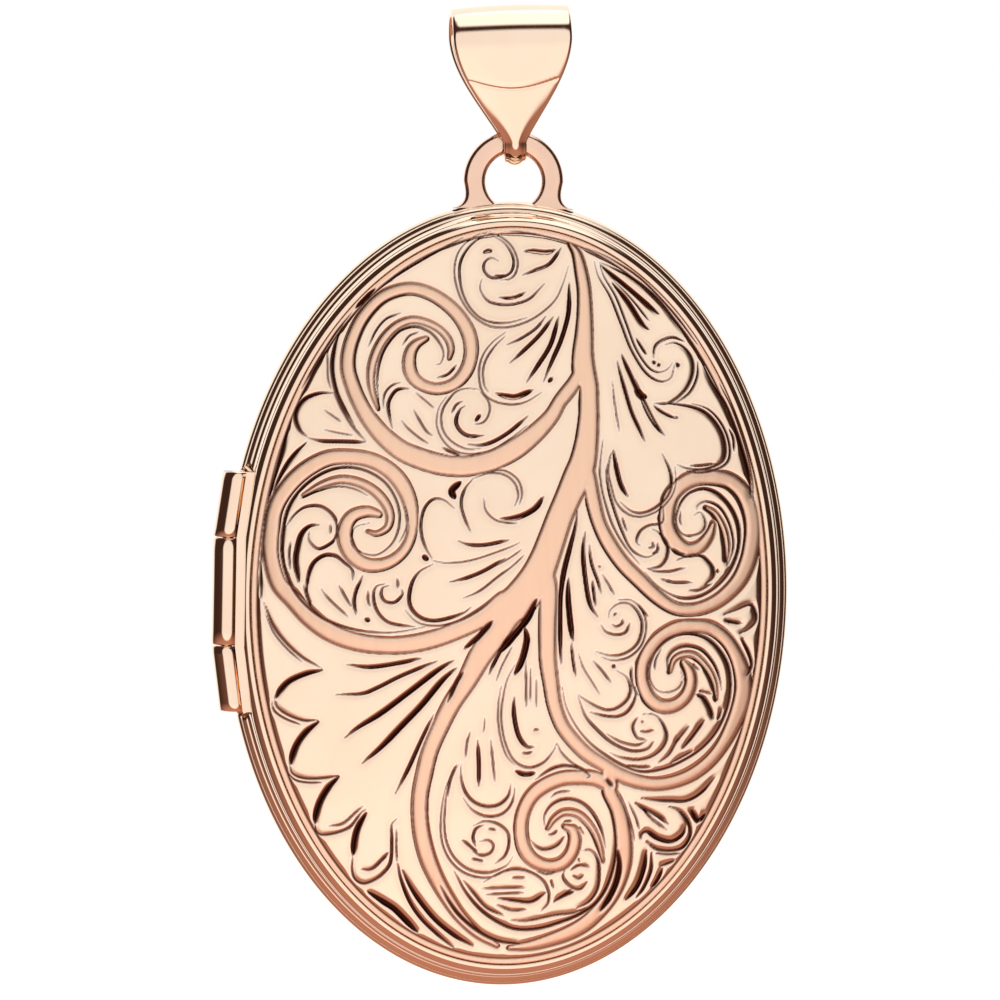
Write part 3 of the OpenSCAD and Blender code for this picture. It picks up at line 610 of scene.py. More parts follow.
    (.13, [(-10.5, -4.75), (-10.4, -5.2), (-9.9, -5.55), (-9.2, -5.8)]),
    (.28, [(-8.43, -5.62), (-9.0, -6.1), (-9.4, -6.67), (-9.6, -7.23), (-9.65, -7.6)]),
    (.15, [(-9.65, -7.6), (-9.6, -7.9), (-9.35, -8.1), (-8.83, -8.2), (-8.1, -8.15), (-7.47, -8.03)]),
    (.13, [(-9.75, -7.95), (-9.4, -8.28), (-8.83, -8.38), (-8.2, -8.35)]),
    (.3, [(-7.5, -8.07), (-7.97, -8.57), (-8.33, -9.23), (-8.5, -9.87), (-8.5, -10.2)]),
    (.16, [(-8.5, -10.2), (-8.45, -10.5), (-8.2, -10.7), (-7.55, -10.6), (-6.93, -10.3),
           (-6.5, -9.7), (-6.25, -9.5)]),
    (.3, [(-6.25, -9.65), (-6.6, -10.27), (-6.75, -10.9), (-6.8, -11.6)]),
    (.17, [(-6.8, -11.6), (-6.83, -12.2), (-6.67, -12.65), (-6.27, -12.85), (-5.7, -12.6),
           (-5.23, -12.1), (-5.1, -11.6), (-5.1, -10.85), (-5.13, -10.2), (-4.9, -9.9)]),
    (.17, [(-6.43, -12.2), (-5.97, -12.2), (-5.5, -11.75), (-5.2, -11.4)]),
    (.14, [(-7.9, -10.3), (-7.3, -10.2), (-6.8, -9.75), (-6.4, -9.35)]),
    (.12, [(-4.9, -10.3), (-4.9, -11.2), (-4.83, -11.87)]),
    (.22, [(-4.83, -11.87), (-4.65, -12.6), (-4.23, -13.6), (-3.67, -14.4), (-2.87, -15.15),
           (-2.2, -15.7)]),
    (.28, [(-4.6, -12.2), (-4.17, -13.0), (-3.6, -13.8), (-2.97, -14.5), (-2.13, -15.15),
           (-1.33, -15.6)]),
    (.38, [(-6.1, -13.2), (-5.37, -13.65), (-4.9, -13.95), (-4.43, -14.4), (-3.85, -15.0)]),
    (.22, [(-2.9, -12.87), (-2.47, -13.6), (-1.9, -14.3), (-1.07, -14.95), (-.2, -15.35),
           (.8, -15.45)]),
    (.17, [(-2.0, -10.8), (-1.67, -11.05), (-1.27, -11.4)]),
    (.13, [(-2.2, -7.4), (-2.55, -7.95), (-2.7, -8.6), (-2.77, -9.2), (-2.8, -10.03),
           (-2.7, -10.83), (-2.4, -11.5), (-1.9, -12.0), (-1.3, -12.25), (-.65, -12.25),
           (0, -11.95), (.3, -11.5)]),
    (.13, [(-2.68, -8.1), (-2.87, -9.0), (-2.95, -10.0), (-2.87, -10.9), (-2.55, -11.65),
           (-2.0, -12.2), (-1.3, -12.47), (-.6, -12.45), (.05, -12.15)]),
    (.17, [(-2.1, -7.35), (-2.1, -8.0), (-1.9, -8.65), (-1.5, -9.1), (-.93, -9.3), (-.37, -9.2),
           (.03, -8.8), (.13, -8.2)]),
    (.14, [(-2.0, -8.9), (-1.5, -9.5), (-.85, -9.75), (-.2, -9.6), (.2, -9.1), (.3, -8.4)]),
    (.16, [(-2.65, -8.85), (-2.6, -8.2), (-2.3, -7.4)]),
    (.16, [(-1.03, -10.1), (-1.37, -10.3), (-1.5, -10.7), (-1.37, -11.1)]),
    (.15, [(-1.5, -10.15), (-1.0, -9.95), (-.47, -10.05), (0, -10.4), (.12, -10.9), (-.05, -11.5),
           (-.5, -11.85)]),
    (.13, [(-.85, -10.3), (-.45, -10.33)]),
    (.14, [(-1.2, -10.83), (-.77, -10.83), (-.57, -11.1), (-.73, -11.4), (-1.13, -11.5),
           (-1.5, -11.3)]),
    (.15, [(-1.55, -11.65), (-1.0, -11.75)]),
    (.2, [(-1.4, -6.3), (-1.33, -7.3), (-1.3, -8.4)]),
    (.14, [(-1.73, -5.9), (-1.88, -6.5), (-1.92, -7.1)]),
    (.14, [(-.83, -6.27), (-.7, -7.27), (-.6, -8.15)]),
    (.1, [(-1.1, -5.3), (-1.15, -6.0)]),
    (.22, [(-.97, -3.4), (-.65, -2.65), (-.1, -1.6)]),
    (.12, [(-.65, -3.7), (-.4, -3.0), (.05, -2.1)]),
    (.13, [(-9.4, 4.25), (-8.67, 4.6), (-7.87, 4.83), (-7.07, 4.75), (-6.43, 4.45)]),
    (.17, [(-6.33, 3.25), (-6.93, 3.07), (-7.15, 2.67), (-7.07, 2.2), (-6.6, 1.9), (-6.0, 1.85),
           (-5.4, 2.3), (-5.1, 2.95), (-5.05, 3.7), (-5.25, 4.4), (-5.7, 5.05), (-6.4, 5.5),
           (-7.2, 5.7), (-8.0, 5.6), (-8.8, 5.2), (-9.5, 4.55), (-9.95, 3.8), (-10.15, 2.9),
           (-10.2, 2.0), (-10.05, 1.1), (-9.65, .2), (-9.0, -.55), (-8.2, -1.1), (-7.2, -1.45),
           (-6.1, -1.6), (-5.0, -1.55), (-3.8, -1.3)]),
    (.1, [(-4.77, 4.0), (-4.68, 3.37), (-4.83, 2.8), (-5.05, 2.4)]),
    (.17, [(-10.0, 3.0), (-9.7, 3.5), (-9.23, 3.88), (-8.6, 3.95), (-8.1, 3.67), (-7.8, 3.2),
           (-7.8, 2.7), (-8.03, 2.33), (-8.6, 2.05), (-9.0, 2.4), (-9.0, 2.8)]),
    (.24, [(-8.55, 3.12), (-9.0, 3.05), (-9.35, 2.7), (-9.53, 2.1), (-9.6, 1.4), (-9.42, .5)]),
    (.14, [(-9.8, 2.4), (-9.87, 1.77), (-9.77, 1.05)]),
    (.12, [(-8.07, 3.2), (-8.07, 2.73)]),
    (.2, [(-9.1, 0), (-9.03, .85), (-8.8, 1.43), (-8.33, 1.77), (-7.83, 1.75), (-7.43, 1.47),
          (-7.1, 1.17), (-7.05, .7)]),
    (.16, [(-9.2, .45), (-9.05, -.1), (-8.87, -.5)]),
    (.13, [(-8.43, .3), (-8.13, -.13), (-7.63, -.6), (-7.2, -.95)]),
    (.14, [(-7.67, .5), (-7.4, -.03), (-7.07, -.5)]),
    (.18, [(-6.6, .93), (-6.9, .27), (-7.0, -.3), (-6.87, -.85)]),
    (.24, [(-6.5, -1.0), (-6.3, -1.12)]),
    (.17, [(-5.6, .57), (-6.0, .45), (-6.15, .05), (-6.0, -.6), (-5.55, -1.1), (-4.9, -1.27),
           (-4.25, -1.3)]),
    (.17, [(-5.43, .5), (-5.75, .37), (-5.8, .03), (-5.6, -.23), (-5.2, -.25), (-4.87, .1),
           (-4.9, .38)]),
    (.15, [(-5.1, .85), (-5.07, .38)]),
    (.15, [(-6.37, .27), (-6.37, -.2), (-6.25, -.45)]),
    (.17, [(-1.8, 5.3), (-2.17, 4.83), (-2.33, 4.2), (-2.17, 3.55), (-1.87, 2.9)]),
    (.14, [(-1.8, 5.3), (-1.07, 5.55), (-.4, 5.47), (.05, 5.1), (.2, 4.57), (.05, 4.1)]),
    (.14, [(-1.35, 5.5), (-.5, 5.68), (.15, 5.3), (.37, 4.7), (.25, 4.15)]),
    (.28, [(-.6, 3.55), (-.13, 3.55), (.43, 3.7), (1.0, 4.05), (1.33, 4.55)]),
    (.14, [(-1.33, 4.45), (-1.23, 3.9), (-.83, 3.5), (-.35, 3.37), (.2, 3.35)]),
    (.2, [(-2.43, 2.53), (-1.95, 2.37), (-1.23, 2.37), (-.17, 2.6)]),
    (.17, [(-2.6, 3.95), (-3.1, 4.33), (-3.57, 4.35), (-3.93, 3.97), (-4.1, 3.33), (-4.05, 2.7),
           (-3.87, 2.2), (-3.55, 1.7)]),
    (.13, [(-3.6, 1.65), (-3.03, 1.55), (-2.23, 1.6), (-1.43, 1.8), (-.17, 2.27), (.3, 2.5)]),
    (.28, [(-3.97, 1.85), (-3.77, 1.65)]),
    (.34, [(-2.35, 5.15), (-2.75, 4.75), (-2.6, 4.4)]),
    (.2, [(-2.8, .7), (-2.07, .88), (-1.27, 1.22), (-.3, 1.8)]),
    (.15, [(-2.15, 0), (-1.43, .33), (-.8, .83), (-.1, 1.4)]),
    (.12, [(-.7, 1.45), (0, 1.9), (.4, 2.2)]),
    (.12, [(-.6, .95), (.1, 1.55), (.5, 1.95)]),
    (.2, [(-3.55, 1.47), (-4.13, 1.13), (-4.45, .63), (-4.57, -.1), (-4.4, -.6), (-3.95, -.95),
          (-3.37, -1.03), (-2.67, -.87), (-2.13, -.65), (-1.83, -.4)]),
    (.14, [(-4.75, -.55), (-4.3, -1.02), (-3.8, -1.22), (-3.0, -1.22), (-2.13, -.93), (-1.33, -.45),
           (-.8, 0)]),
    (.2, [(-7.95, 8.95), (-8.57, 8.95), (-9.2, 8.72), (-9.58, 8.3), (-9.7, 7.8), (-9.5, 7.27),
          (-9.1, 6.97)]),
    (.2, [(-9.1, 6.95), (-8.5, 6.83), (-7.57, 6.83), (-6.55, 6.82)]),
    (.15, [(-8.0, 8.95), (-7.6, 8.17), (-7.13, 7.45), (-6.57, 6.88)]),
    (.13, [(-8.4, 8.2), (-8.07, 7.97), (-7.63, 7.67)]),
    (.12, [(-8.4, 7.33), (-7.93, 7.23), (-7.13, 7.1)]),
    (.2, [(-7.6, 12.0), (-7.93, 11.2), (-8.1, 10.15), (-7.93, 9.1), (-7.55, 8.27), (-7.05, 7.5)]),
    (.15, [(-9.1, 9.5), (-8.8, 10.1), (-8.3, 11.0)]),
    (.13, [(-8.3, 10.9), (-8.27, 10.2), (-8.25, 9.6), (-8.1, 9.1)]),
    (.2, [(-9.97, 7.43), (-10.3, 6.13), (-10.6, 4.97), (-10.83, 3.95)]),
    (.2, [(-9.15, 6.77), (-9.63, 6.3), (-10.05, 5.73), (-10.4, 5.0), (-10.6, 4.4)]),
    (.13, [(-10.93, 3.37), (-11.0, 2.67), (-11.07, 1.6), (-11.1, .6), (-11.05, -.3)]),
    (.17, [(1.67, -10.13), (1.67, -9.65), (2.0, -9.17), (2.57, -8.93), (3.23, -9.05), (3.8, -9.5),
           (4.22, -10.25), (4.45, -11.15)]),
    (.12, [(1.9, -8.85), (2.23, -8.63), (2.8, -8.55)]),
    (.14, [(2.53, -9.93), (2.9, -9.9)]),
    (.14, [(1.85, -10.53), (2.07, -10.5), (2.27, -10.33)]),
    (.13, [(3.23, -10.15), (3.45, -10.5)]),
    (.16, [(1.05, -10.75), (1.37, -11.1), (1.77, -11.2), (2.27, -11.0), (2.6, -10.58)]),
    (.17, [(3.37, -11.23), (3.77, -11.23), (4.1, -11.57), (4.2, -12.1), (4.15, -12.9), (3.8, -13.5),
           (3.2, -13.85)]),
    (.15, [(2.87, -12.13), (3.28, -11.9), (3.77, -11.97)]),
    (.16, [(2.63, -12.03), (2.6, -12.47), (2.93, -12.87), (3.35, -12.97), (3.68, -12.63)]),
    (.14, [(3.0, -12.35), (3.25, -12.5), (3.5, -12.35)]),
    (.15, [(3.2, -11.55), (3.3, -11.75)]),
    (.22, [(4.73, -9.67), (4.9, -10.65), (4.85, -11.8), (4.57, -12.8), (4.07, -13.6), (3.37, -14.1),
           (2.55, -14.45), (1.57, -14.75), (.57, -14.8), (-.25, -14.5), (-1.1, -13.9),
           (-1.8, -13.1), (-2.3, -12.2)]),
    (.36, [(5.0, -11.2), (5.08, -11.9), (4.98, -12.6), (4.7, -13.3), (4.3, -13.95)]),
    (.14, [(3.0, -12.95), (2.5, -13.3), (2.15, -13.6)]),
    (.15, [(-1.0, -12.7), (-.27, -12.27), (.4, -12.1), (1.03, -12.2), (1.6, -12.53), (1.93, -13.03),
           (1.95, -13.6), (1.6, -14.0)]),
    (.13, [(.25, -12.5), (.9, -12.47)]),
    (.13, [(-1.1, -13.0), (-.27, -12.95), (.5, -12.93), (.95, -12.9)]),
    (.13, [(-.9, -13.25), (.1, -13.2), (.85, -13.15)]),
    (.22, [(-.35, -13.4), (.43, -13.5), (1.17, -13.55), (1.83, -13.13)]),
    (.14, [(-.4, -13.7), (.3, -13.95), (1.0, -13.9)]),
    (.14, [(2.02, -12.55), (2.17, -12.95)]),
    (.22, [(2.2, -13.53), (2.6, -13.28), (3.1, -13.07)]),
    (.15, [(.27, -14.4), (1.0, -14.42), (2.23, -14.15), (3.05, -14.05), (3.7, -13.8)]),
    (.13, [(1.35, -12.17), (1.85, -12.3), (2.33, -12.17)]),
    (.17, [(-1.9, -12.6), (-1.4, -13.2), (-.8, -13.85), (0, -14.2)]),
    (.2, [(4.4, -8.0), (4.7, -8.35)]),
    (.2, [(5.97, -8.87), (6.6, -8.95), (7.33, -8.98), (8.07, -8.97), (8.73, -8.6), (9.3, -7.95)]),
    (.2, [(5.7, -9.07), (6.18, -9.35), (6.85, -9.7), (7.27, -10.05)]),
    (.14, [(6.05, -9.3), (6.6, -9.85), (7.2, -10.3)]),
    (.2, [(7.25, -9.23), (7.8, -9.47), (8.18, -9.93), (8.27, -10.5), (7.95, -11.07), (7.37, -11.23),
          (6.78, -11.15), (6.27, -10.8)]),
    (.25, [(6.03, -10.73), (6.07, -10.45), (6.35, -10.37), (6.85, -10.67), (7.43, -10.8),
           (7.9, -10.5), (8.05, -10.1)]),
    (.28, [(8.25, -9.35), (8.62, -9.85), (8.95, -9.55)]),
    (.13, [(5.03, -8.7), (5.33, -9.43), (5.65, -10.33), (5.73, -10.83)]),
    (.12, [(5.4, -9.0), (5.8, -9.75), (5.95, -10.3)]),
    (.3, [(6.28, -11.23), (6.2, -11.97), (5.93, -12.8), (5.45, -13.45)]),
    (.2, [(6.53, -11.3), (6.53, -12.1), (6.22, -12.9), (5.9, -13.35)]),
    (.18, [(6.95, -11.93), (7.6, -11.67)]),
    (.24, [(7.05, -12.03), (6.85, -12.5), (6.6, -12.9)]),
    (.14, [(6.7, -11.35), (7.3, -11.4), (7.85, -11.35)]),
]

field_cell = 0.03
field_columns = math.ceil(engraved_half_width / field_cell) + 2
field_rows = math.ceil(engraved_half_height / field_cell) + 2
field_x = np.arange(-field_columns, field_columns + 1) * field_cell
field_z = np.arange(-field_rows, field_rows + 1) * field_cell
far_away = 9.0


def smooth_stroke(points, spacing=0.12):
    """A smooth curve through the points (Catmull-Rom), with any further values carried along."""
    known = np.array(points, float)
    padded = np.vstack([2 * known[0] - known[1], known, 2 * known[-1] - known[-2]])
    parts = []
    for before, start, end, after in zip(padded, padded[1:], padded[2:], padded[3:]):
        count = max(2, int(np.hypot(*(end - start)[:2]) / spacing) + 1)
        share = np.linspace(0, 1, count, endpoint=False)[:, None]
        parts.append(0.5 * (2 * start + (end - before) * share
                            + (2 * before - 5 * start + 4 * end - after) * share ** 2
                            + (3 * start - before - 3 * end + after) * share ** 3))
    return np.vstack(parts + [known[-1:]])


def along_stroke(curve, half_widths, margin):
    """For each short piece of a stroke: a window round it, distances from it and its half width."""
    for start, end, half_start, half_end in zip(curve, curve[1:], half_widths, half_widths[1:]):
        spread = max(half_start, half_end) + margin
        low, high = np.minimum(start, end) - spread, np.maximum(start, end) + spread
        across = slice(*np.searchsorted(field_x, (low[0], high[0])))
        up = slice(*np.searchsorted(field_z, (low[1], high[1])))
        run = end - start
        dx, dz = field_x[None, across] - start[0], field_z[up, None] - start[1]
        share = np.clip((dx * run[0] + dz * run[1]) / max(run @ run, 1e-9), 0, 1)
        distance = np.hypot(dx - share * run[0], dz - share * run[1])
        yield (up, across), distance, half_start + (half_end - half_start) * share


narrowest_stem = 0.03
stem_surround = 0.3
stem_inside = np.full((field_z.size, field_x.size), -far_away)
for points in stems.values():
    curve = smooth_stroke(points)
    half_widths = np.maximum(curve[:, 2], narrowest_stem)
    for window, distance, half in along_stroke(curve[:, :2], half_widths, stem_surround):
        stem_inside[window] = np.maximum(stem_inside[window], half - distance)

# A plain matte border runs round the edge, outside every stem.
border_width = 0.26
share_x, share_z = field_x[None, :] / engraved_half_width, field_z[:, None] / engraved_half_height
field_share = np.hypot(share_x, share_z)
field_slope = np.hypot(share_x / engraved_half_width, share_z / engraved_half_height)
border_inset = (1 - field_share) * field_share / np.maximum(field_slope, 1e-6)
stem_inside = np.maximum(stem_inside, border_width - border_inset)

# The graver goes in with a round swell, is widest along the middle and leaves in a point. The
# cut is darkest along its middle, in painted shade. Painted brown shade lies on its flanks, and a
# painted highlight stands a hair outside each edge.
cut_slope = 0.8
cut_half_share, point_share = 0.36, 0.25
swell_in, swell_out, swell_roundness = 0.3, 0.2, 0.6
flank_reach, flank_full_half = 0.17, 0.09
# Where the painted highlight lies beside each cut, and how wide it is.
highlight_offset, highlight_width = 0.055, 0.045
shade_core, shade_fade = 2.0, 1.7
thin_cut_shade, shade_gain = 0.75, 4


def highlight_profile(outside):
    """The painted highlight beside a cut, at distances outside its edge."""
    return 1 - np.abs(outside - highlight_offset) / highlight_width


cut_depth = np.zeros_like(stem_inside)
cut_painted_shade = np.zeros_like(stem_inside)
flank_relief_and_shade = np.zeros_like(stem_inside)
painted_edge_highlight = np.zeros_like(stem_inside)
for width, points in cuts:
    curve = smooth_stroke(points)
    run = np.concatenate([[0], np.cumsum(np.hypot(*np.diff(curve, axis=0).T))])
    share = run / run[-1]
    swelling = np.clip(np.minimum(share / swell_in, (1 - share) / swell_out), 0, 1) ** swell_roundness
    halves = cut_half_share * width * (point_share + (1 - point_share) * swelling)
    for window, distance, half in along_stroke(curve, halves, 3 * flank_reach):
        darkness = (np.clip(shade_core - shade_fade * distance / half, 0, 1)
                    * np.clip(thin_cut_shade + shade_gain * half, 0, 1))
        # Painted brown shade beside the cut; the same profile also sinks the flank.
        shading = half / flank_full_half * np.exp(-(distance / flank_reach) ** 2)
        for field, value in ((cut_depth, cut_slope * (half - distance)), (cut_painted_shade, darkness),
                             (painted_edge_highlight, highlight_profile(distance - half)), (flank_relief_and_shade, shading)):
            field[window] = np.maximum(field[window], value)

# Each stem is outlined by a fine line, and its surface lies a little lower than the leaves.
# The line's dark core and the brown along each stem edge are painted shade, and its bright edge
# is a painted highlight.
line_half, line_shade_amount, line_flank = 0.045, 0.9, 0.75
line_core, line_fade = 1.6, 1.5
line_reach = 0.7 * flank_reach
matte_edge = 0.06
flank_sink, stem_sink = 0.045, 0.012
from_line = np.abs(stem_inside)
cut_depth = np.maximum(cut_depth, cut_slope * (line_half - from_line))
line_darkness = line_shade_amount * np.clip(line_core - line_fade * from_line / line_half, 0, 1)
cut_painted_shade = np.maximum(cut_painted_shade, line_darkness)
painted_edge_highlight = np.clip(np.maximum(painted_edge_highlight, highlight_profile(from_line - line_half)), 0, 1) * (1 - cut_painted_shade)
line_shading = line_flank * np.exp(-(stem_inside / line_reach) ** 2)
flank_relief_and_shade = np.clip(np.maximum(flank_relief_and_shade, line_shading), 0, 1)
stem_matte = np.clip(stem_inside / matte_edge + 0.5, 0, 1)
# The flank profile sinks the surface, and the same profile also sets the painted brown shade beside the
# cuts.
shell_cut = cut_depth + flank_sink * flank_relief_and_shade + stem_sink * stem_matte


def read_field(field, x, z):
    """Values of a field at places on the shell, measured between its cells."""
    column = np.clip((x - field_x[0]) / field_cell, 0, field_x.size - 1.001)
    row = np.clip((z - field_z[0]) / field_cell, 0, field_z.size - 1.001)
    i, j = row.astype(int), column.astype(int)
    a, b = row - i, column - j
    return ((1 - a) * ((1 - b) * field[i, j] + b * field[i, j + 1])
            + a * ((1 - b) * field[i + 1, j] + b * field[i + 1, j + 1]))


columns, lines = 441, 631
side_s, side_t = np.meshgrid(np.linspace(-1, 1, columns), np.linspace(-1, 1, lines))
x = (engraved_half_width * side_s * np.sqrt(1 - side_t ** 2 / 2)).ravel()
z = (engraved_half_height * side_t * np.sqrt(1 - side_s ** 2 / 2)).ravel()
y = -(front_shoulder + dome_rise(x, z, front_swell) - read_field(shell_cut, x, z))
face_points = np.stack([case_x + x, y, case_z + z], -1)
face_quads = grid_faces(lines, columns, rows_closed=False, columns_closed=False)

# The inside is plain: rings from the same edge points to the middle, joined to the face by a wall.
numbers = np.arange(lines * columns).reshape(lines, columns)
edge_numbers = np.concatenate([numbers[0, :-1], numbers[:-1, -1], numbers[-1, :0:-1], numbers[:0:-1, 0]])
edge_count = edge_numbers.size
inner_shares = [1.0, 0.96, 0.85, 0.7, 0.5, 0.25]
inner_points = []
for share in inner_shares:
    inner_x, inner_z = share * x[edge_numbers], share * z[edge_numbers]
    inner_y = -(front_shoulder - shell_wall + dome_rise(inner_x, inner_z, front_swell))
    inner_points.append(np.stack([case_x + inner_x, inner_y, case_z + inner_z], -1))
middle_point = [[case_x, -(front_shoulder - shell_wall + front_swell), case_z]]
first_inner = face_points.shape[0]
inner_quads = grid_faces(len(inner_shares), edge_count, rows_closed=False) + first_inner
step = np.arange(edge_count)
next_step = (step + 1) % edge_count
wall_quads = np.stack([edge_numbers[step], first_inner + step,
                       first_inner + next_step, edge_numbers[next_step]], -1)
last_ring = first_inner + (len(inner_shares) - 1) * edge_count
middle_number = last_ring + edge_count
fan = np.stack([last_ring + step, np.full(edge_count, middle_number), last_ring + next_step], -1)
faces = face_quads.tolist() + wall_quads.tolist() + inner_quads[:, ::-1].tolist() + fan.tolist()


def engraved_metal():
    """Polished rose gold with matted stems and dark cuts, read from the shell's own cut marks; the
    dark in and beside the cuts is painted shade, and their bright edges are a painted highlight.
    """
    material = metal("engraved_rose_gold", (0.97, 0.79, 0.61), (0.94, 0.75, 0.57), 0.08, 0.14,
                     line_depth=0.002)
    tree = material.node_tree
    node, link = tree.nodes.new, tree.links.new
    shader = tree.nodes["Principled BSDF"]
    plain_colour = shader.inputs["Base Color"].links[0].from_socket
    plain_gloss = shader.inputs["Roughness"].links[0].from_socket

    def mark(name):
        """One of the shell's own marks, from 0 to 1; all but the matte stems are painted shade and
        highlight.
        """
        reader = node("ShaderNodeAttribute")
        reader.attribute_name = name
        return reader.outputs["Fac"]

    def blend(under, tint, amount):
        """Lays a colour over another by an amount from 0 to 1."""
        mix = node("ShaderNodeMix")
        mix.data_type = "RGBA"
        mix.inputs["B"].default_value = (*tint, 1)
        link(under, mix.inputs["A"])
        link(amount, mix.inputs["Factor"])
        return mix.outputs["Result"]

    # Over the gold go the matte stems, painted brown shade beside the cuts, a painted highlight along
    # their edges and painted dark shade inside the cuts.
    colour = plain_colour
    for name, tint in (("stem_matte", (0.97, 0.66, 0.47)), ("flank_relief_and_shade", (0.72, 0.34, 0.19)),
                       ("painted_edge_highlight", (1.0, 0.93, 0.85)), ("cut_painted_shade", (0.06, 0.012, 0.007))):
        colour = blend(colour, tint, mark(name))
    link(colour, shader.inputs["Base Color"])
    rough = node("ShaderNodeMapRange")
    rough.inputs["To Max"].default_value = 0.20
    link(mark("stem_matte"), rough.inputs["Value"])
    gloss = node("ShaderNodeMath")
    gloss.operation = "ADD"
    link(plain_gloss, gloss.inputs[0])
    link(rough.outputs["Result"], gloss.inputs[1])
    link(gloss.outputs["Value"], shader.inputs["Roughness"])
    return material


engraved_gold = engraved_metal()
engraved = make_piece("engraved_front", np.vstack([face_points] + inner_points + [middle_point]), faces,
                      "front", ["front_shell"], engraved_gold)
# Strengths of the painted brown shade beside the cuts and of the painted highlight on their edges.
flank_shade_tint, highlight_tint = 0.8, 0.55
marks = {"cut_painted_shade": cut_painted_shade, "stem_matte": stem_matte, "flank_relief_and_shade": flank_shade_tint * flank_relief_and_shade,
         "painted_edge_highlight": highlight_tint * painted_edge_highlight}
for label, field in marks.items():
    values = np.zeros(len(engraved.data.vertices), np.float32)
    values[:x.size] = read_field(field, x, z)
    engraved.data.attributes.new(label, "FLOAT", "POINT").data.foreach_set("value", values)

# ---------------------------------------------------------------------------
# Hanger loop
# A flat ring of rose gold wire with softened edges. Its two feet flare into
# solder where they stand on the bead of the back half.
# ---------------------------------------------------------------------------
loop_low, loop_high = box_mm("hanger_loop")
bail_pivot = joint_places["bail_swing"]
hole_radius = 1.25
loop_outer = 2.23
loop_thickness = loop_high[1] - loop_low[1]
loop_rounding = 0.25
loop_z = loop_high[2] - loop_outer
loop_steps = 120
foot_angle = 66
foot_flare = [(loop_outer, 0), (2.16, -0.35), (2.06, -0.75), (2.12, -1.05), (2.75, -1.24)]


def bezier(points, share):
    """A point along a smooth curve of any degree with these control points."""
    points = [np.array(p, float) for p in points]
    while len(points) > 1:
        points = [a + (b - a) * share for a, b in zip(points, points[1:])]
    return points[0]


def rounded_strip(width, thickness, rounding, corner_steps=5):
    """Closed outline of a strip's cross section, with four equal round corners, from its middle."""
    outline = []
    for corner, (sx, sy) in enumerate(((1, 1), (-1, 1), (-1, -1), (1, -1))):
        for step in range(corner_steps + 1):
            turn = math.radians(90 * corner + 90 * step / corner_steps)
            outline.append((sx * (width / 2 - rounding) + rounding * math.cos(turn),
                            sy * (thickness / 2 - rounding) + rounding * math.sin(turn)))
    return outline


rings = []
for step in range(loop_steps + 1):
    turn = math.radians(-foot_angle + (180 + 2 * foot_angle) * step / loop_steps)
    inner = np.array([hole_radius * math.cos(turn), hole_radius * math.sin(turn)])
    outer = np.array([loop_outer * math.cos(turn), loop_outer * math.sin(turn)])
    if math.sin(turn) < 0:
        side = 1 if math.cos(turn) > 0 else -1
        drop = math.asin(-math.sin(turn)) / math.radians(foot_angle)
        outer = bezier(foot_flare, drop)
        outer[0] *= side
    middle, across = (inner + outer) / 2, outer - inner
    width = float(np.hypot(*across))
    across /= width
    rings.append([[case_x + middle[0] + a * across[0], -b, loop_z + middle[1] + a * across[1]]
                  for a, b in rounded_strip(width, loop_thickness, loop_rounding)])
rings = np.array(rings)
faces = grid_faces(*rings.shape[:2], rows_closed=False).tolist()
ring_size = rings.shape[1]
faces += [list(range(ring_size))[::-1], list(range(loop_steps * ring_size, (loop_steps + 1) * ring_size))]
ring_gold = metal("hanger_rose_gold", (0.91, 0.65, 0.50), (0.86, 0.60, 0.46), 0.14, 0.22,
                  cloud_size=700.0, line_depth=0.003)
make_piece("hanger_ring", rings.reshape(-1, 3), faces, "back", ["hanger_loop"],
           ring_gold)

# ---------------------------------------------------------------------------
# Bail
# One tapered strip of rose gold sheet folded over: a wide round fold for the
# chain and a narrow one that hangs in the loop. Its leaves are crowned.
# ---------------------------------------------------------------------------
bail_wall = 0.27
fold_radius = 0.67
chain_radius = 1.3
chain_rise = math.hypot(*bail_pivot[[0, 2]])
lean = math.atan2(bail_pivot[0], -bail_pivot[2])
bail_half_top, bail_half_fold = 2.65, 0.5
taper_height, taper_power = 4.8, 1.12
path_steps, edge_steps, face_steps = 360, 6, 24
crease_rise, crease_lift = 2.4, 0.4
crease_depth, crease_half = 0.02, 0.05
crown, crown_above = 0.14, 0.03
crown_start, crown_fade = 0.4, 2.8
inside_crown_share = 0.5


def ease(value):
    """Smooth step from 0 to 1."""
    value = min(max(value, 0.0), 1.0)
    return value * value * (3 - 2 * value)


def leaf_crown(across, rise):
    """How far a leaf bulges out: fullest just above the smile-shaped crease."""
    above = rise - crease_rise - crease_lift * across ** 2
    fullness = crown + crown_above * ease(above / crown_start) * (1 - 2 * ease(above / crown_fade))
    groove = crease_depth * math.exp(-(above / crease_half) ** 2)
    return fullness * (1 - across ** 2) - groove


def bail_half_width(height):
    """Half the strip's width at a height above the narrow fold's centre."""
    share = min(max(height / taper_height, 0), 1)
    return bail_half_fold + (bail_half_top - bail_half_fold) * math.sin(math.pi / 2 * share ** taper_power)


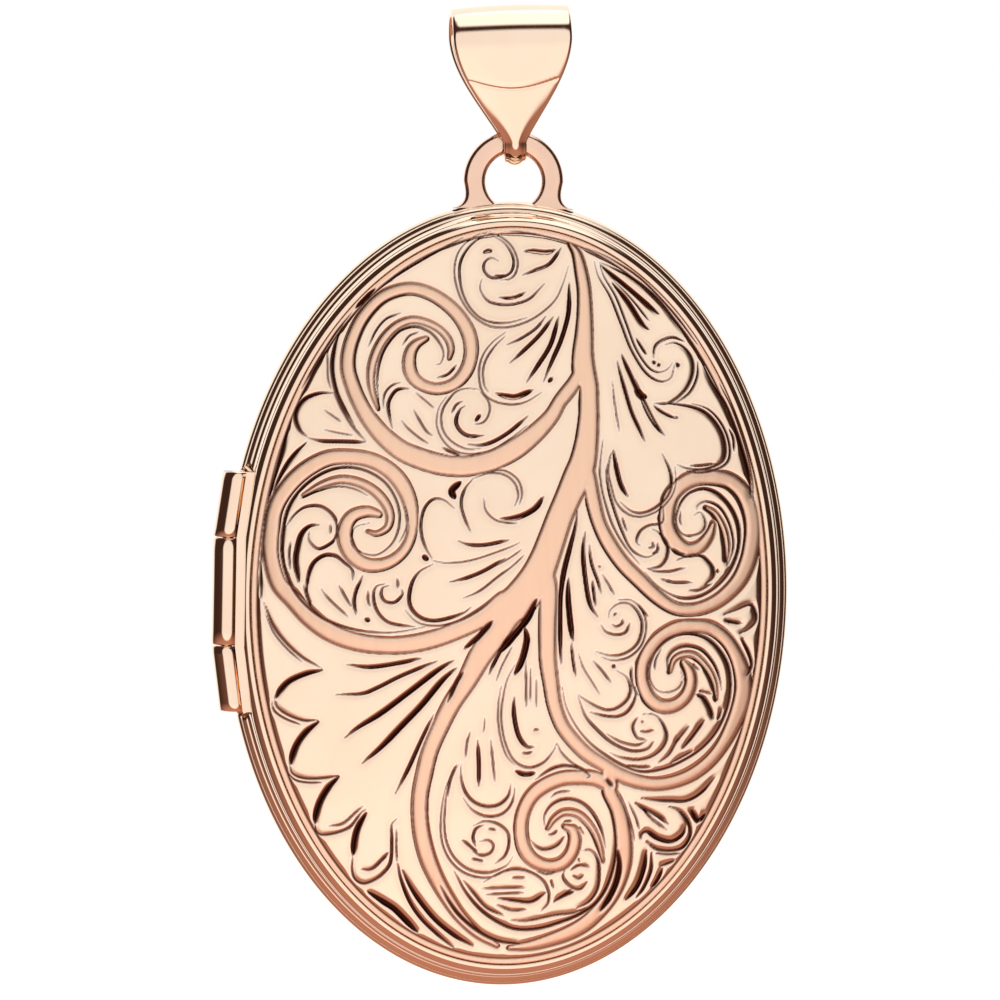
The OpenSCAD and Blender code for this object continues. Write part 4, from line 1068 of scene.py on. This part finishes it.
def bail_path(share):
    """Place and outward direction on the middle of the sheet, once round from the wide fold's top."""
    low, high = fold_radius + bail_wall / 2, chain_radius + bail_wall / 2
    tilt = math.asin((high - low) / chain_rise)
    leg = chain_rise * math.cos(tilt)
    top_arc, low_arc = high * (math.pi / 2 + tilt), low * (math.pi - 2 * tilt)
    total = 2 * top_arc + 2 * leg + low_arc
    along = share * total
    if along < top_arc:
        turn = math.pi / 2 - along / high
        centre, radius = chain_rise, high
    elif along < top_arc + leg:
        turn = -tilt
        gone = (along - top_arc) / leg
        forward = (high + (low - high) * gone) * math.cos(tilt)
        rise = chain_rise * (1 - gone) - (high + (low - high) * gone) * math.sin(tilt)
        return forward, rise, math.cos(turn), math.sin(turn)
    elif along < top_arc + leg + low_arc:
        turn = -tilt - (along - top_arc - leg) / low
        centre, radius = 0, low
    else:
        forward, rise, nf, nr = bail_path(1 - share)
        return -forward, rise, -nf, nr
    return radius * math.cos(turn), centre + radius * math.sin(turn), math.cos(turn), math.sin(turn)


rows = []
for step in range(path_steps):
    forward, rise, out_forward, out_rise = bail_path(step / path_steps)
    half = bail_half_width(rise)
    edge = bail_wall / 2
    section = []
    for k in range(face_steps + 1):
        across = -1 + 2 * k / face_steps
        section.append((across * (half - edge), edge + leaf_crown(across, rise)))
    for k in range(1, edge_steps):
        turn = math.pi / 2 - math.pi * k / edge_steps
        section.append((half - edge + edge * math.cos(turn), edge * math.sin(turn)))
    for k in range(face_steps + 1):
        across = 1 - 2 * k / face_steps
        section.append((across * (half - edge), -edge + inside_crown_share * leaf_crown(across, rise)))
    for k in range(1, edge_steps):
        turn = -math.pi / 2 - math.pi * k / edge_steps
        section.append((-half + edge + edge * math.cos(turn), edge * math.sin(turn)))
    row = []
    for x, out in section:
        y, z = -(forward + out * out_forward), rise + out * out_rise
        row.append([bail_pivot[0] + x * math.cos(lean) - z * math.sin(lean), y,
                    bail_pivot[2] + x * math.sin(lean) + z * math.cos(lean)])
    rows.append(row)
rows = np.array(rows)
make_piece("folded_bail", rows.reshape(-1, 3), grid_faces(*rows.shape[:2]), "bail", ["bail"],
           polished_gold)

# ---------------------------------------------------------------------------
# Hinge knuckles
# Three lengths of drawn rose gold tube. The outer two are soldered to the
# back half and follow the oval; the middle one belongs to the cover.
# ---------------------------------------------------------------------------
pin_radius = 0.25
knuckle_chamfer = 0.05
knuckle_around = 64


def knuckle(name, low_z, high_z, slope, body, node):
    """A tube between two heights, leaning right by slope from its end nearest the middle of the hinge."""
    end_radius = barrel_radius - knuckle_chamfer
    profile = [(pin_radius, low_z), (end_radius, low_z), (barrel_radius, low_z + knuckle_chamfer)]
    profile += [(barrel_radius, low_z + (high_z - low_z) * k / 8) for k in range(1, 8)]
    profile += [(barrel_radius, high_z - knuckle_chamfer), (end_radius, high_z), (pin_radius, high_z)]
    turns = np.linspace(0, 2 * math.pi, knuckle_around, endpoint=False)
    rows = []
    for radius, height in profile:
        shift = slope * max(abs(height - case_z) - outer_start, 0)
        rows.append(np.stack([axis_x + shift + radius * np.cos(turns), axis_y + radius * np.sin(turns),
                              height + 0 * turns], -1))
    rows = np.array(rows)
    return make_piece(name, rows.reshape(-1, 3), grid_faces(*rows.shape[:2]), body, [node],
                      polished_gold)


lower_low, lower_high = box_mm("lower_knuckle")
knuckle("hinge_tube_top", upper_low[2], upper_high[2], hinge_slope, "back", "upper_knuckle")
knuckle("hinge_tube_bottom", lower_low[2], lower_high[2], hinge_slope, "back", "lower_knuckle")
knuckle("hinge_tube_middle", middle_low[2], middle_high[2], 0, "front", "middle_knuckle")

# ---------------------------------------------------------------------------
# Small hinge and catch parts
# The hinge pin is hard gold wire; the straps, snap lip and catch pip are thin
# gold strip and wire, soldered in place. The pin, lip and pip are left with a drawn
# finish and the straps are polished.
# ---------------------------------------------------------------------------


def finish_node(node, material):
    """Gives a CAD node its procedural material in every slot."""
    mesh = frame["nodes"][node].data
    mesh.materials.clear()
    mesh.materials.append(material)


hinge_wire = metal("hinge_wire", (0.90, 0.72, 0.56), (0.84, 0.62, 0.46), 0.18, 0.30)
inner_gold = metal("inner_rose_gold", (0.92, 0.70, 0.54), (0.86, 0.62, 0.46), 0.16, 0.28,
                   cloud_size=500.0)
finish_node("hinge_pin", hinge_wire)
for node in ("front_hinge_strap", "back_hinge_strap"):
    finish_node(node, polished_gold)
for node in ("snap_lip", "catch_pip", "front_photo_frame", "back_photo_frame"):
    finish_node(node, inner_gold)

# ---------------------------------------------------------------------------
# Inserts
# Each half holds an oval gold frame, a clear acrylic sheet, a blank ivory card
# and a brushed gilding metal plate, cut to the oval and lifted out as one.
# ---------------------------------------------------------------------------
brass_plate = metal("brass_plate", (0.86, 0.66, 0.36), (0.78, 0.56, 0.28), 0.25, 0.4, line_depth=0.004)
for node in ("front_backing_plate", "back_backing_plate"):
    finish_node(node, brass_plate)


def grained(name, light, dark, grain_size, smooth, rough, depth):
    """A sheet whose tone and gloss vary with a fine even grain."""
    material = bpy.data.materials.new(name)
    material.use_nodes = True
    tree = material.node_tree
    node, link = tree.nodes.new, tree.links.new
    shader = tree.nodes["Principled BSDF"]
    place = node("ShaderNodeTexCoord")
    grain = node("ShaderNodeTexNoise")
    grain.inputs["Scale"].default_value = grain_size
    grain.inputs["Detail"].default_value = 4.0
    colour = node("ShaderNodeValToRGB")
    colour.color_ramp.elements[0].color = (*dark, 1)
    colour.color_ramp.elements[1].color = (*light, 1)
    gloss = node("ShaderNodeMapRange")
    gloss.inputs["To Min"].default_value = smooth
    gloss.inputs["To Max"].default_value = rough
    bump = node("ShaderNodeBump")
    bump.inputs["Strength"].default_value = 0.2
    bump.inputs["Distance"].default_value = depth * MM
    link(place.outputs["Object"], grain.inputs["Vector"])
    link(grain.outputs["Fac"], colour.inputs["Fac"])
    link(colour.outputs["Color"], shader.inputs["Base Color"])
    link(grain.outputs["Fac"], gloss.inputs["Value"])
    link(gloss.outputs["Result"], shader.inputs["Roughness"])
    link(grain.outputs["Fac"], bump.inputs["Height"])
    link(bump.outputs["Normal"], shader.inputs["Normal"])
    return material


sheet_relief = 0.006
sheet_edge = 0.02
sheet_around = 240


def oval_sheet(name, node, body, material):
    """A flat oval sheet with softened edges, a hair thinner than the space that it lies in."""
    low, high = box_mm(node)
    low[1] += sheet_relief
    high[1] -= sheet_relief
    wide, tall = (high[0] - low[0]) / 2, (high[2] - low[2]) / 2
    turns = np.linspace(0, 2 * math.pi, sheet_around, endpoint=False)
    rings = []
    for inset, depth in ((tall / 2, low[1]), (sheet_edge, low[1]), (0, low[1] + sheet_edge),
                         (0, high[1] - sheet_edge), (sheet_edge, high[1]), (tall / 2, high[1])):
        share = 1 - inset / tall
        rings.append(np.stack([case_x + share * wide * np.cos(turns), depth + 0 * turns,
                               case_z + share * tall * np.sin(turns)], -1))
    points = np.vstack(rings + [[[case_x, low[1], case_z]], [[case_x, high[1], case_z]]])
    faces = grid_faces(len(rings), turns.size, rows_closed=False).tolist()
    front_middle, last = len(rings) * turns.size, (len(rings) - 1) * turns.size
    faces += [[front_middle, (i + 1) % turns.size, i] for i in range(turns.size)]
    faces += [[front_middle + 1, last + i, last + (i + 1) % turns.size] for i in range(turns.size)]
    return make_piece(name, points, faces, body, [node], material)


photo_card = grained("photo_card", (0.88, 0.83, 0.73), (0.78, 0.71, 0.60), 6000.0, 0.55, 0.75, 0.01)
for half in ("front", "back"):
    oval_sheet(half + "_ivory_card", half + "_photo_card", half, photo_card)
clear_window = grained("clear_window", (0.98, 0.98, 0.97), (0.95, 0.96, 0.95), 900.0, 0.02, 0.08, 0.001)
window_shader = clear_window.node_tree.nodes["Principled BSDF"]
window_shader.inputs["Alpha"].default_value = 0.12
window_shader.inputs["IOR"].default_value = 1.49
for half in ("front", "back"):
    oval_sheet(half + "_clear_sheet", half + "_window", half, clear_window)

# ---------------------------------------------------------------------------
# Floor, light and camera
# A pale paper floor far below and a tent of soft white cards: front, behind and
# above, with a dark gap on the upper left and a warm table underneath.
# ---------------------------------------------------------------------------
floor_material = bpy.data.materials.new("pale_floor")
floor_material.use_nodes = True
floor_shader = floor_material.node_tree.nodes["Principled BSDF"]
floor_shader.inputs["Base Color"].default_value = (0.9, 0.9, 0.9, 1)
floor_shader.inputs["Emission Color"].default_value = (1, 1, 1, 1)
floor_shader.inputs["Emission Strength"].default_value = 0.6
floor_drop = 15 * MM
floor_half = 0.25
floor_z = cad_box[0][2] - floor_drop
floor_mesh = bpy.data.meshes.new("pale_floor")
floor_corners = [(-floor_half, -floor_half), (floor_half, -floor_half),
                 (floor_half, floor_half), (-floor_half, floor_half)]
floor_mesh.from_pydata([(x, y, floor_z) for x, y in floor_corners], [], [(0, 1, 2, 3)])
floor_mesh.materials.append(floor_material)
floor = bpy.data.objects.new("pale_floor", floor_mesh)
bpy.context.scene.collection.objects.link(floor)
floor.visible_glossy = False

world = bpy.data.worlds.new("light_tent")
bpy.context.scene.world = world
world.use_nodes = True
tent, link = world.node_tree.nodes, world.node_tree.links
tent.clear()
direction = tent.new("ShaderNodeTexCoord")


def tent_card(toward, full_angle, edge_angle, strength):
    """Brightness of a soft-edged round card seen in one direction; a negative one is a black card."""
    towards = np.array(toward, float) / np.linalg.norm(toward)
    dot = tent.new("ShaderNodeVectorMath")
    dot.operation = "DOT_PRODUCT"
    dot.inputs[1].default_value = tuple(towards)
    link.new(direction.outputs["Generated"], dot.inputs[0])
    ramp = tent.new("ShaderNodeMapRange")
    ramp.interpolation_type = "SMOOTHSTEP"
    ramp.inputs["From Min"].default_value = math.cos(math.radians(edge_angle))
    ramp.inputs["From Max"].default_value = math.cos(math.radians(full_angle))
    ramp.inputs["To Max"].default_value = strength
    link.new(dot.outputs["Value"], ramp.inputs["Value"])
    return ramp.outputs["Result"]


def add_up(values):
    """Adds a list of node outputs."""
    total = values[0]
    for value in values[1:]:
        node = tent.new("ShaderNodeMath")
        node.operation = "ADD"
        link.new(total, node.inputs[0])
        link.new(value, node.inputs[1])
        total = node.outputs["Value"]
    return total


front_card = tent_card((0, -1, 0.05), 33, 43, 0.95)
back_card = tent_card((0, 1, 0.3), 50, 66, 1.12)
top_card = tent_card((0.1, -0.1, 1), 22, 33, 1.35)
dark_card = tent_card((-1, -0.3, 0.9), 27, 38, -2.2)
no_less = tent.new("ShaderNodeMath")
no_less.operation = "MAXIMUM"
no_less.inputs[1].default_value = 0.0
link.new(add_up([front_card, back_card, top_card, dark_card]), no_less.inputs[0])
glow = tent.new("ShaderNodeBackground")
glow.inputs["Color"].default_value = (1.0, 1.0, 1.0, 1)
link.new(no_less.outputs["Value"], glow.inputs["Strength"])
warm_table = tent.new("ShaderNodeBackground")
warm_table.inputs["Color"].default_value = (1.0, 0.46, 0.32, 1)
table_glow = tent_card((0, -0.2, -1), 30, 85, 0.5)
room_glow = tent_card((0, -1, 0), 178, 179, 0.05)
link.new(add_up([table_glow, room_glow]), warm_table.inputs["Strength"])
both = tent.new("ShaderNodeAddShader")
link.new(glow.outputs[0], both.inputs[0])
link.new(warm_table.outputs[0], both.inputs[1])
paper = tent.new("ShaderNodeBackground")
paper.inputs["Color"].default_value = (1, 1, 1, 1)
paper.inputs["Strength"].default_value = 1.0
seen = tent.new("ShaderNodeLightPath")
choose = tent.new("ShaderNodeMixShader")
output = tent.new("ShaderNodeOutputWorld")
link.new(seen.outputs["Is Camera Ray"], choose.inputs[0])
link.new(both.outputs[0], choose.inputs[1])
link.new(paper.outputs[0], choose.inputs[2])
link.new(choose.outputs[0], output.inputs["Surface"])
bpy.context.scene.view_settings.view_transform = "Standard"

view_turn = math.radians(4.5)
view_rise = math.radians(3.0)
view_roll = math.radians(1.0)
view_distance = 500.0
view_width = 44.58
sensor_width = 36.0
aim_right, aim_up = -0.345, 4.181
right = np.array([math.cos(view_turn), -math.sin(view_turn), 0])
level = np.array([math.sin(view_turn), math.cos(view_turn), 0])
back = -level * math.cos(view_rise) + np.array([0, 0, math.sin(view_rise)])
up = np.cross(back, right)
aim = np.array([case_x, 0, case_z]) + right * aim_right + up * aim_up
rolled_right = right * math.cos(view_roll) + up * math.sin(view_roll)
rolled_up = -right * math.sin(view_roll) + up * math.cos(view_roll)
camera_data = bpy.data.cameras.new("product_camera")
camera_data.sensor_width = sensor_width
camera_data.lens = sensor_width * view_distance / view_width
camera_data.clip_start = 0.01
camera_data.clip_end = 10
camera = bpy.data.objects.new("product_camera", camera_data)
bpy.context.scene.collection.objects.link(camera)
place = (aim + back * view_distance) * MM
rows = [[rolled_right[i], rolled_up[i], back[i], place[i]] for i in range(3)]
camera.matrix_world = Matrix(rows + [[0, 0, 0, 1]])
bpy.context.scene.camera = camera
